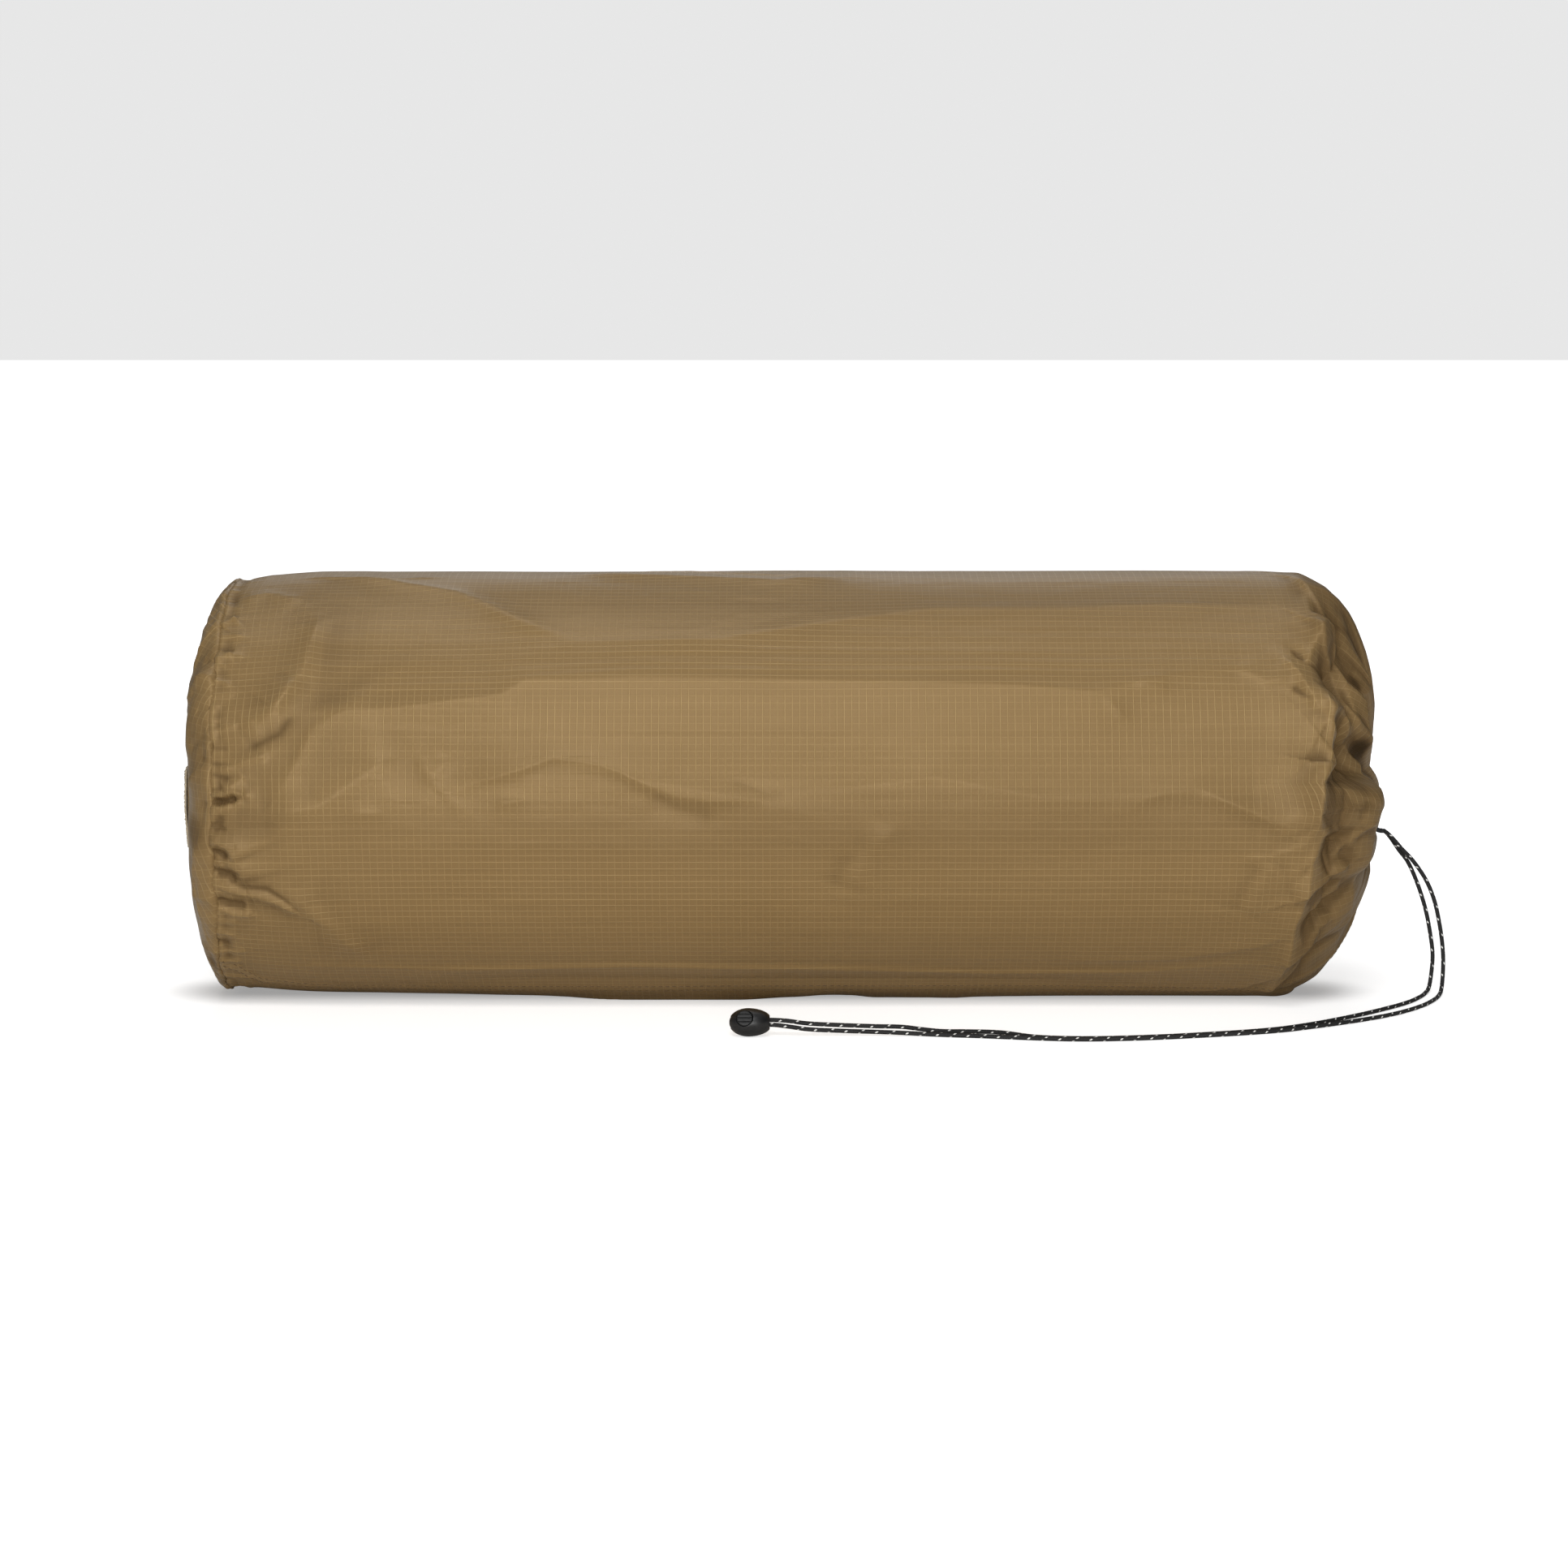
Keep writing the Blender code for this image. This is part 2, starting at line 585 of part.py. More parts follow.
def lock_profile():
    """Egg outline of the lock from its tail down to its nose, about its own Z axis."""
    points = [(0.0, LOCK_TAIL_LENGTH)]
    for i in range(LOCK_STEPS + 1):
        turn = math.pi / 2 * i / LOCK_STEPS
        radius = LOCK_TAIL_RADIUS + (LOCK_RADIUS - LOCK_TAIL_RADIUS) * math.sin(turn)
        points.append((radius, LOCK_TAIL_LENGTH * math.cos(turn)))
    nose_radius = BEAD_RADIUS + SLIDE_GAP + NOSE_RIM
    for i in range(1, LOCK_STEPS + 1):
        turn = math.pi / 2 * i / LOCK_STEPS
        radius = nose_radius + (LOCK_RADIUS - nose_radius) * math.cos(turn)
        points.append((radius, -LOCK_NOSE_LENGTH * math.sin(turn)))
    points.append((0.0, -LOCK_NOSE_LENGTH))
    return points


def button_matrix():
    """Placement whose Z is the button's outward axis and whose X runs along the cords."""
    z = BUTTON_AXIS
    x = Vector((1.0, 0.0, 0.0))
    y = z.cross(x)
    turn = Matrix((x, y, z)).transposed().to_4x4()
    return Matrix.Translation(LOCK_PLACE + Vector((BUTTON_OFFSET, 0.0, 0.0))) @ turn


def block(name, centre, size, collection, matrix):
    """Box cutter given by its centre and size in the button's frame."""
    shape = bmesh.new()
    bmesh.ops.create_cube(shape, size=1.0)
    bmesh.ops.scale(shape, verts=shape.verts, vec=size)
    bmesh.ops.translate(shape, verts=shape.verts, vec=centre)
    mesh = bpy.data.meshes.new(name)
    shape.to_mesh(mesh)
    shape.free()
    return place(name, mesh, collection, None, matrix)


def passage_cutter(name, low, high, length, cutters, matrix):
    """Round-sided slot along the cords, from low to high on the button's axis."""
    radius = (high - low) / 2
    spread = PASSAGE_HALF_WIDTH - PASSAGE_HALF_HEIGHT
    if radius > PASSAGE_HALF_HEIGHT:
        box_size = (length, 2 * PASSAGE_HALF_WIDTH, high - low)
        return block(name, (0.0, 0.0, (low + high) / 2), box_size, cutters, matrix)
    turn = Matrix.Rotation(math.pi / 2, 4, "Y")
    slot = flat_plate("slot", stadium_points(spread, radius, LOCK_STEPS), [], length, cutters, None, matrix @ turn)
    world = slot.matrix_world.copy()
    return place(name, plain_mesh(slot), cutters, None, world)


def build_lock(parts, cutters):
    """The egg-shaped cord lock: housing, spring-loaded button, spring and the cords' end bead."""
    frame = button_matrix()
    body = turned("lock_body", lock_profile(), LOCK_SIDES, parts, "black_acetal", along_x(*LOCK_PLACE))
    through = 2 * (LOCK_NOSE_LENGTH + LOCK_TAIL_LENGTH)
    low = -PASSAGE_HALF_HEIGHT
    high = PASSAGE_HALF_HEIGHT
    cut(body, passage_cutter("cord_passage_cutter", low, high, through, cutters, frame))

    bore_floor = -(LOCK_RADIUS - LOCK_FLOOR_WALL)
    bore = [(0.0, 2 * LOCK_RADIUS), (BUTTON_RADIUS + SLIDE_GAP, 2 * LOCK_RADIUS)]
    bore += [(BUTTON_RADIUS + SLIDE_GAP, bore_floor), (0.0, bore_floor)]
    cut(body, turned("button_bore_cutter", bore, LOCK_SIDES, cutters, None, frame))

    seat_radius = BEAD_RADIUS + SLIDE_GAP
    seat = [(0.0, 0.0), (seat_radius, 0.0), (seat_radius, -LOCK_NOSE_LENGTH), (0.0, -LOCK_NOSE_LENGTH)]
    bead_seat = along_x(BEAD_SEAT_X, LOCK_PLACE.y, LOCK_PLACE.z)
    cut(body, turned("bead_seat_cutter", seat, BEAD_SIDES, cutters, None, bead_seat))

    axis = bpy.data.objects.new("button_axis", None)
    parts.objects.link(axis)
    axis.matrix_world = frame
    face_radius = BUTTON_RADIUS - BUTTON_CHAMFER
    profile = [(0.0, BUTTON_TOP), (face_radius, BUTTON_TOP), (BUTTON_RADIUS, BUTTON_TOP - BUTTON_CHAMFER)]
    profile += [(BUTTON_RADIUS, BUTTON_BOTTOM), (0.0, BUTTON_BOTTOM)]
    button = turned("lock_plunger", profile, BUTTON_SIDES, parts, "black_acetal")
    button.parent = axis
    hole_high = high + BUTTON_TRAVEL
    cut(button, passage_cutter("button_hole_cutter", low, hole_high, through, cutters, frame))
    pitch = 2 * BUTTON_RADIUS / (BUTTON_GROOVES + 1)
    for i in range(BUTTON_GROOVES):
        y = pitch * (i - (BUTTON_GROOVES - 1) / 2)
        size = (2 * BUTTON_RADIUS + SLIDE_GAP, GROOVE_WIDTH, 2 * GROOVE_DEPTH)
        cut(button, block(f"groove_cutter_{i + 1}", (0.0, y, BUTTON_TOP), size, cutters, frame))

    wire = SPRING_WIRE / 2
    spring_low = bore_floor + FIT_GAP + wire
    spring_high = BUTTON_BOTTOM - FIT_GAP - wire
    points = []
    count = int(SPRING_TURNS * SPRING_TURN_POINTS)
    for i in range(count + 1):
        angle = 2 * math.pi * SPRING_TURNS * i / count
        height = spring_low + (spring_high - spring_low) * i / count
        local = Vector((SPRING_RADIUS * math.cos(angle), SPRING_RADIUS * math.sin(angle), height))
        points.append(frame @ local)
    tube("lock_spring", points, wire, parts, "spring_steel", 1)

    bead = [(0.0, -FIT_GAP), (BEAD_RADIUS, -FIT_GAP), (BEAD_RADIUS, -BEAD_SEAT_DEPTH)]
    bead += [(BEAD_CROWN_EDGE[0], -BEAD_SEAT_DEPTH - BEAD_CROWN_EDGE[1])]
    bead += [(0.0, -BEAD_SEAT_DEPTH - BEAD_CROWN)]
    turned("cord_end_bead", bead, BEAD_SIDES, parts, "black_cord", bead_seat)


def spiral_points(inner, outer, turns):
    """Outline of a cloth roll of even layers between two radii.

    Each turn keeps its radius over its lower half and climbs one layer over its upper half, so the
    roll lies full on what is under it.
    """
    count = turns * TURN_POINTS + TURN_POINTS // 2
    gaps = FIT_GAP + LAYER_SLACK
    layer = (outer - inner - gaps * turns) / (turns + 1)
    pitch = layer + gaps
    inside = []
    outside = []
    for i in range(count + 1):
        share = i / TURN_POINTS
        angle = 2 * math.pi * share - math.pi / 2
        climb = math.floor(share) + max(2 * (share % 1.0) - 1, 0.0)
        radius = inner + pitch * climb
        way = (math.cos(angle), math.sin(angle))
        inside.append((radius * way[0], radius * way[1]))
        outside.append(((radius + layer) * way[0], (radius + layer) * way[1]))
    return inside + outside[::-1]


def build_rolls(parts):
    """The rolled inner tent round the poles and stakes, and the rolled fly round the tent."""
    core = CORE_RADIUS / math.cos(math.pi / TURN_POINTS)
    tent = spiral_points(core, TENT_ROLL_RADIUS, ROLL_TURNS)
    middle = BASE_SEAM_X + TENT_ROLL_START + TENT_ROLL_LENGTH / 2
    flat_plate("tent_roll", tent, [], TENT_ROLL_LENGTH, parts, "tent_cloth", along_x(middle, 0.0, ROLL_Z))
    fly = spiral_points(TENT_ROLL_RADIUS + FIT_GAP, FLY_ROLL_RADIUS, ROLL_TURNS)
    middle = BASE_SEAM_X + BASE_TAPER + FIT_GAP + FLY_ROLL_LENGTH / 2
    flat_plate("rainfly_roll", fly, [], FLY_ROLL_LENGTH, parts, "fly_cloth", along_x(middle, 0.0, ROLL_Z))


def build_open_bag(name, outline, start, end, y, z, parts, finish):
    """A small sleeve of cloth that is closed at its start and open at its end."""
    rings = []
    for x in (start, end):
        rings.append([(x, y + point_y, z + point_z) for point_z, point_y in outline])
    return thicken(loft(name, rings, parts, finish, cap_start=True), BAG_WALL)


def pole_bag_z():
    """Height of the pole bag's middle: it rests with both its sides on the tent roll's core."""
    reach = CORE_RADIUS - FIT_GAP - POLE_BAG_END_RADIUS
    return ROLL_Z - math.sqrt(reach**2 - BUNDLE_Y**2)


def section_profile(ferrule):
    """Half section of one pole tube about its own Z axis, with or without its ferrule on top."""
    half = SECTION_LENGTH / 2
    bore = TUBE_RADIUS - TUBE_WALL
    if not ferrule:
        return [(TUBE_RADIUS, half), (TUBE_RADIUS, -half), (bore, -half), (bore, half)]
    stub = bore - FERRULE_GAP
    inner = stub - FERRULE_WALL
    top = half + FERRULE_REACH
    outside = [(stub - 2 * FERRULE_GAP, top), (stub, top - TIP_COLLAR), (stub, half)]
    outside += [(TUBE_RADIUS, half), (TUBE_RADIUS, -half)]
    inside = [(bore, -half), (bore, half - FERRULE_HOLD), (inner, half - FERRULE_HOLD), (inner, top)]
    return outside + inside


def tip_profile():
    """Half section of a pole's end tip, its pin up and its spigot down in the tube."""
    bore = TUBE_RADIUS - TUBE_WALL - FERRULE_GAP
    shoulder = TIP_COLLAR + TIP_PIN_LENGTH
    pin = [(0.0, shoulder), (TIP_PIN_NOSE_RADIUS, shoulder), (TIP_PIN_RADIUS, shoulder - TIP_PIN_RADIUS / 2)]
    collar = [(TIP_PIN_RADIUS, TIP_COLLAR), (TUBE_RADIUS, TIP_COLLAR), (TUBE_RADIUS, FIT_GAP)]
    return [*pin, *collar, (bore, FIT_GAP), (bore, -TIP_SPIGOT), (0.0, -TIP_SPIGOT)]


def bundle_columns(side):
    """(y, z) of a pole's sections in folding order: six round the outside, then the middle one."""
    columns = []
    for i in range(SECTIONS - 1):
        angle = -math.pi / 2 + 2 * math.pi * i / (SECTIONS - 1)
        columns.append((BUNDLE_PITCH * math.cos(angle), BUNDLE_PITCH * math.sin(angle)))
    columns.append((0.0, 0.0))
    return [(side * BUNDLE_Y + y, pole_bag_z() + z) for y, z in columns]


def build_pole(label, side, parts):
    """One folded pole: its sections, end tips and the shock cord that runs through them all."""
    columns = bundle_columns(side)
    half = SECTION_LENGTH / 2
    cord_end = half - TIP_SPIGOT - FIT_GAP
    cord = [Vector((-cord_end, *columns[0]))]
    for i, (y, z) in enumerate(columns):
        way = 1 if i % 2 == 0 else -1
        seat = along_x(0.0, y, z)
        if way < 0:
            seat = seat @ Matrix.Rotation(math.pi, 4, "X")
        profile = section_profile(ferrule=i < SECTIONS - 1)
        name = f"pole_{label}_section_{i + 1}"
        turned(name, profile, POLE_SIDES, parts, "bare_aluminium", seat, ring=True)
        if i == SECTIONS - 1:
            continue
        here = Vector((0.0, y, z))
        there = Vector((0.0, *columns[i + 1]))
        middle = (here + there) / 2
        out = Vector((way, 0.0, 0.0))
        turn_x = half + FERRULE_REACH + FIT_GAP
        for j in range(CORD_BEND_STEPS + 1):
            angle = math.pi * j / CORD_BEND_STEPS
            bend = middle + (here - middle) * math.cos(angle) + out * (CORD_BEND * math.sin(angle))
            cord.append(bend + out * turn_x)
    cord.append(Vector((cord_end, *columns[-1])))
    tube(f"pole_{label}_shock_cord", cord, SHOCK_CORD_DIAMETER / 2, parts, "black_cord", 1)
    for number, way, (y, z) in ((1, -1, columns[0]), (2, 1, columns[-1])):
        seat = along_x(way * half, y, z)
        if way < 0:
            seat = seat @ Matrix.Rotation(math.pi, 4, "X")
        turned(f"pole_{label}_tip_{number}", tip_profile(), POLE_SIDES, parts, "black_acetal", seat)


def build_poles(parts):
    """Both folded poles, side by side in their bag."""
    outline = stadium_points(BUNDLE_Y, POLE_BAG_END_RADIUS, HANK_SIDES)
    z = pole_bag_z()
    reach = BUNDLE_REACH + FIT_GAP
    build_open_bag("pole_bag", outline, -reach - BAG_WALL, reach, 0.0, z, parts, "fly_cloth")
    build_pole("a", -1, parts)
    build_pole("b", 1, parts)


def stake_outline():
    """V section of a stake, its spine at the bottom."""
    reach = STAKE_WING * math.sin(math.pi / 4)
    edge = STAKE_SHEET * math.sin(math.pi / 4)
    spine = STAKE_SHEET / math.sin(math.pi / 4)
    return [
        (0.0, 0.0),
        (reach, reach),
        (reach - edge, reach + edge),
        (0.0, spine),
        (edge - reach, reach + edge),
        (-reach, reach),
    ]


def build_stakes(parts, cutters):
    """Six V stakes nested in their bag on top of the poles."""
    stake_pitch = (STAKE_SHEET + FIT_GAP) / math.sin(math.pi / 4)
    stack_height = STAKE_WING + stake_pitch * (STAKES - 1)
    radius = STAKE_BAG_HALF_WIDTH
    straight = max(stack_height - 2 * radius, 0.0) / 2 + radius / 4
    bag_z = pole_bag_z() + POLE_BAG_END_RADIUS + FIT_GAP + straight + radius
    outline = [(y, z) for z, y in stadium_points(straight, radius, 8)]
    end = STAKE_BAG_START + STAKE_BAG_LENGTH
    build_open_bag("stake_bag", outline, STAKE_BAG_START, end, 0.0, bag_z, parts, "fly_cloth")

    blank = flat_plate("stake_blank", stake_outline(), [], STAKE_LENGTH, parts)
    blank = place("stake_blank_mesh", plain_mesh(blank), parts)
    slope = math.atan2(STAKE_WING * math.sin(math.pi / 4), STAKE_TIP)
    for side in (1, -1):
        point = Matrix.Translation((side * STAKE_POINT, 0.0, STAKE_LENGTH / 2))
        wedge = point @ Matrix.Rotation(-side * slope, 4, "Y")
        size = (2 * STAKE_WING, 4 * STAKE_WING, 4 * STAKE_TIP)
        centre = (side * STAKE_WING, 0.0, 0.0)
        cut(blank, block(f"stake_tip_cutter_{(3 - side) // 2}", centre, size, cutters, wedge))
    hole = [(0.0, STAKE_WING), (STAKE_HOLE_RADIUS, STAKE_WING)]
    hole += [(STAKE_HOLE_RADIUS, -STAKE_WING), (0.0, -STAKE_WING)]
    head = STAKE_LENGTH / 2 - STAKE_TIP / 2
    turn = Matrix.Rotation(math.pi / 2, 4, "Y")
    height = STAKE_HOLE_SHARE * STAKE_WING * math.sin(math.pi / 4) + STAKE_SHEET / 2
    rise = Matrix.Translation((0.0, height, -head))
    cut(blank, turned("stake_hole_cutter", hole, POLE_SIDES, cutters, None, rise @ turn))
    mesh = plain_mesh(blank)
    middle = STAKE_BAG_START + BAG_WALL + FIT_GAP + STAKE_LENGTH / 2
    lowest = bag_z - straight - radius + BAG_WALL + FIT_GAP
    for i in range(STAKES):
        z = lowest + stake_pitch * i
        upright = Matrix((Vector((0, 0, 1)), Vector((1, 0, 0)), Vector((0, 1, 0)))).to_4x4()
        seat = Matrix.Translation((middle, 0.0, z)) @ upright
        place(f"stake_{i + 1}", mesh.copy(), parts, "anodised_stake", seat)


def resting_centre(side):
    """(y, z) of a guyline hank that leans in the corner between the tent roll and the pole bag."""
    wall = CORE_RADIUS - FIT_GAP - HANK_RADIUS
    under = POLE_BAG_END_RADIUS + FIT_GAP + HANK_RADIUS
    y = BUNDLE_Y
    z = pole_bag_z() - ROLL_Z
    span = math.hypot(y, z)
    along = (wall**2 - under**2 + span**2) / (2 * span)
    across = math.sqrt(wall**2 - along**2)
    centre = Vector((y, z)) * (along / span) + Vector((-z, y)) * (across / span)
    return side * centre.x, centre.y + ROLL_Z


def build_guylines(parts):
    """Four tied guyline hanks beside the stakes, each with its three-hole tensioner lying on it."""
    half = HANK_LENGTH / 2
    round_end = HANK_RADIUS / 2
    top = [(0.0, half), (HANK_RADIUS - round_end, half), (HANK_RADIUS, half - round_end)]
    top += [(HANK_RADIUS, HANK_WAIST), (HANK_WAIST, 0.0)]
    profile = top + [(radius, -height) for radius, height in reversed(top[:-1])]
    plate = stadium_points(TENSIONER_LENGTH / 2 - TENSIONER_WIDTH / 2, TENSIONER_WIDTH / 2, 4)
    number = 0
    for side in (-1, 1):
        y, z = resting_centre(side)
        for x in HANK_STATIONS:
            number += 1
            turned(f"guyline_hank_{number}", profile, HANK_SIDES, parts, "black_cord", along_x(x, y, z))
            holes = [circle_points(0.0, i * TENSIONER_PITCH, TENSIONER_HOLE, 6) for i in (-1, 0, 1)]
            lift = z + HANK_RADIUS + FIT_GAP + TENSIONER_SHEET / 2
            seat = Matrix.Translation((x + half / 2, y, lift)) @ Matrix.Rotation(math.pi / 2, 4, "Z")
            name = f"guyline_tensioner_{number}"
            flat_plate(name, plate, holes, TENSIONER_SHEET, parts, "black_acetal", seat)


def main():
    """Builds the packed tent piece by piece."""
    clear_scene()
    parts = new_collection("cot_tent_packed")
    cutters = new_collection("cutters")
    build_sack(parts)
    build_base(parts)
    build_mouth(parts)
    build_strand("drawcord_front_strand", FRONT_ROUTE, -1, -1, parts)
    build_strand("drawcord_rear_strand", REAR_ROUTE, 1, 1, parts)
    build_lock(parts, cutters)
    build_rolls(parts)
    build_poles(parts)
    build_stakes(parts, cutters)
    build_guylines(parts)


main()
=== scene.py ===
"""A cot tent packed in its drawstring stuff sack, dressed as it lies on a studio floor.

+X runs from the sewn base to the gathered mouth, +Z is up, and lengths are in metres unless a name
ends in _mm. The cloth of the sack is laid out by two numbers: how far along the cloth a point is
from the base seam, and how many degrees up it is from the front of the sack.
"""

import json
import logging
import math
from dataclasses import dataclass, field
from enum import Enum
from typing import Any, Optional, Sequence, Union

import bmesh
import bpy
import numpy as np
from mathutils import Matrix, Vector
from mathutils.geometry import interpolate_bezier

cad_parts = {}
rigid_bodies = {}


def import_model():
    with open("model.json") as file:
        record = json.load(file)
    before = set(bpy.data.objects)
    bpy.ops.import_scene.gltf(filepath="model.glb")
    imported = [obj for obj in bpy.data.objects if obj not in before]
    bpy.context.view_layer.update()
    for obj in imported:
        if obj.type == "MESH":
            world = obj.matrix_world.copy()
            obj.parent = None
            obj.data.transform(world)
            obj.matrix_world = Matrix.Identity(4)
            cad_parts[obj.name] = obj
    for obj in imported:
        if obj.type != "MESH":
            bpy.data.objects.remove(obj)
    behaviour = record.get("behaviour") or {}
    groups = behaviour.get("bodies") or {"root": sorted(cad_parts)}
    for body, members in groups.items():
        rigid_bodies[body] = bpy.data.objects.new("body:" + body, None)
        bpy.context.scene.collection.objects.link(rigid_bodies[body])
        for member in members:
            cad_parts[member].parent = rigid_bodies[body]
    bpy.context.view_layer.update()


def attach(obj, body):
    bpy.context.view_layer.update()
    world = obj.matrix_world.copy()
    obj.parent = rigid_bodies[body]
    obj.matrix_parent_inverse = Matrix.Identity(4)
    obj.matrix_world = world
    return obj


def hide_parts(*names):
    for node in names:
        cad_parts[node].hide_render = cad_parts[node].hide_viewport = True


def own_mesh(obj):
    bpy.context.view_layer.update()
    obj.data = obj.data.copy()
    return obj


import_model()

MM = 0.001
TOUCHING = 0.002 * MM
ROOT = "root"
BUTTON_BODY = "lock_button"
log = logging.getLogger("cot_tent")

Colour = tuple[float, float, float]
Number = Union[float, "Socket"]
Point = tuple[float, float, float]


class Socket:
    """An output of a shader node that can be used in sums; each sum adds its Math node."""

    def __init__(self, graph: "Graph", socket: bpy.types.NodeSocket) -> None:
        """Keeps the graph and the socket.

        Args:
            graph: the material's graph.
            socket: the output that this stands for.
        """
        self.graph = graph
        self.socket = socket

    def __add__(self, other: Number) -> "Socket":
        """The sum."""
        return self.graph.math("ADD", self, other)

    def __radd__(self, other: float) -> "Socket":
        """The sum, the number first."""
        return self.graph.math("ADD", other, self)

    def __sub__(self, other: Number) -> "Socket":
        """The difference."""
        return self.graph.math("SUBTRACT", self, other)

    def __rsub__(self, other: float) -> "Socket":
        """The difference, the number first."""
        return self.graph.math("SUBTRACT", other, self)

    def __mul__(self, other: Number) -> "Socket":
        """The product."""
        return self.graph.math("MULTIPLY", self, other)

    def __rmul__(self, other: float) -> "Socket":
        """The product, the number first."""
        return self.graph.math("MULTIPLY", other, self)

    def __truediv__(self, other: Number) -> "Socket":
        """The quotient."""
        return self.graph.math("DIVIDE", self, other)

    def __abs__(self) -> "Socket":
        """The size without its sign."""
        return self.graph.math("ABSOLUTE", self)

    def repeat(self) -> "Socket":
        """The part after the decimal point."""
        return self.graph.math("FRACT", self)

    def wave(self) -> "Socket":
        """The sine."""
        return self.graph.math("SINE", self)

    def most(self, other: Number) -> "Socket":
        """The larger of two."""
        return self.graph.math("MAXIMUM", self, other)

    def ease(self, low: float, high: float) -> "Socket":
        """A soft step.

        Args:
            low: the value that gives 0.
            high: the value that gives 1.

        Returns:
            The eased share.
        """
        settings = {"interpolation_type": "SMOOTHSTEP"}
        node = self.graph.node("ShaderNodeMapRange", settings, {0: self, 1: low, 2: high})
        return Socket(self.graph, node.outputs[0])


class Graph:
    """One procedural material: its node tree, and short ways to add to it."""

    def __init__(self, name: str) -> None:
        """Starts a material with a shader joined to its output.

        Args:
            name: the material's name.
        """
        self.material = bpy.data.materials.new(name)
        self.material.use_nodes = True
        self.tree = self.material.node_tree
        self.shader = self.tree.nodes["Principled BSDF"]

    def node(self, kind: str, settings: dict[str, Any], inputs: dict[Any, Any]) -> bpy.types.Node:
        """Adds a node.

        Args:
            kind: the node's type.
            settings: its properties, set first.
            inputs: values or sockets by input name or number.

        Returns:
            The node.
        """
        node = self.tree.nodes.new(kind)
        for key, value in settings.items():
            setattr(node, key, value)
        for key, value in inputs.items():
            self.feed(node.inputs[key], value)
        return node

    def feed(self, target: bpy.types.NodeSocket, value: Any) -> None:
        """Links a socket, or sets its plain value.

        Args:
            target: the input.
            value: a Socket or a plain value.
        """
        if isinstance(value, Socket):
            self.tree.links.new(value.socket, target)
        else:
            target.default_value = value

    def math(self, operation: str, first: Number, second: Number = 0.0) -> Socket:
        """A Math node on one or two values."""
        node = self.node("ShaderNodeMath", {"operation": operation}, {0: first, 1: second})
        return Socket(self, node.outputs[0])

    def attribute(self, name: str) -> Socket:
        """The value of a piece's own attribute."""
        node = self.node("ShaderNodeAttribute", {"attribute_name": name}, {})
        return Socket(self, node.outputs["Fac"])

    def flat(self, layer: str) -> tuple[Socket, Socket, Socket]:
        """The place on the flat cloth.

        Args:
            layer: the name of the piece's UV map.

        Returns:
            The place as a vector, its first and its second number.
        """
        place = self.node("ShaderNodeUVMap", {"uv_map": layer}, {})
        vector = Socket(self, place.outputs[0])
        parts = self.node("ShaderNodeSeparateXYZ", {}, {0: vector})
        return vector, Socket(self, parts.outputs[0]), Socket(self, parts.outputs[1])

    def place(self) -> Socket:
        """The place on the piece, in metres."""
        node = self.node("ShaderNodeTexCoord", {}, {})
        return Socket(self, node.outputs["Object"])

    def vector(self, operation: str, first: Socket, second: Point = (0.0, 0.0, 0.0)) -> Socket:
        """A Vector Math node that gives a vector."""
        node = self.node("ShaderNodeVectorMath", {"operation": operation}, {0: first, 1: second})
        return Socket(self, node.outputs[0])

    def stretch(self, vector: Socket, scale: Point) -> Socket:
        """The vector with its three numbers scaled."""
        return self.vector("MULTIPLY", vector, scale)

    def noise(self, vector: Socket, scale: float, detail: float = 2.0) -> Socket:
        """Soft noise.

        Args:
            vector: where to read it.
            scale: how fine it is, in waves a metre.
            detail: how many finer layers it has.

        Returns:
            The noise, from 0 to 1.
        """
        node = self.node("ShaderNodeTexNoise", {}, {"Vector": vector, "Scale": scale, "Detail": detail})
        return Socket(self, node.outputs[0])

    def mix(self, factor: Number, first: Any, second: Any) -> Socket:
        """Two colours mixed.

        Args:
            factor: the share of the second.
            first: a colour, or a socket with one.
            second: a colour, or a socket with one.

        Returns:
            The colour.
        """
        node = self.node("ShaderNodeMix", {"data_type": "RGBA"}, {0: factor})
        for number, value in ((6, first), (7, second)):
            full = value if isinstance(value, Socket) else (*value, 1.0)
            self.feed(node.inputs[number], full)
        return Socket(self, node.outputs[2])

    def bump(self, height: Socket, depth: float) -> Socket:
        """A surface relief.

        Args:
            height: the relief, from 0 to 1.
            depth: what 1 stands for, in metres.

        Returns:
            The normal.
        """
        node = self.node("ShaderNodeBump", {}, {"Height": height, "Distance": depth, "Strength": 1.0})
        return Socket(self, node.outputs[0])

    def finish(self, inputs: dict[str, Any]) -> bpy.types.Material:
        """Feeds the shader.

        Args:
            inputs: values or sockets by the shader's input name.

        Returns:
            The material.
        """
        for key, value in inputs.items():
            self.feed(self.shader.inputs[key], value)
        return self.material


def link(name: str, data: bpy.types.ID) -> bpy.types.Object:
    """Puts new data into the scene at the origin."""
    obj = bpy.data.objects.new(name, data)
    bpy.context.scene.collection.objects.link(obj)
    return obj


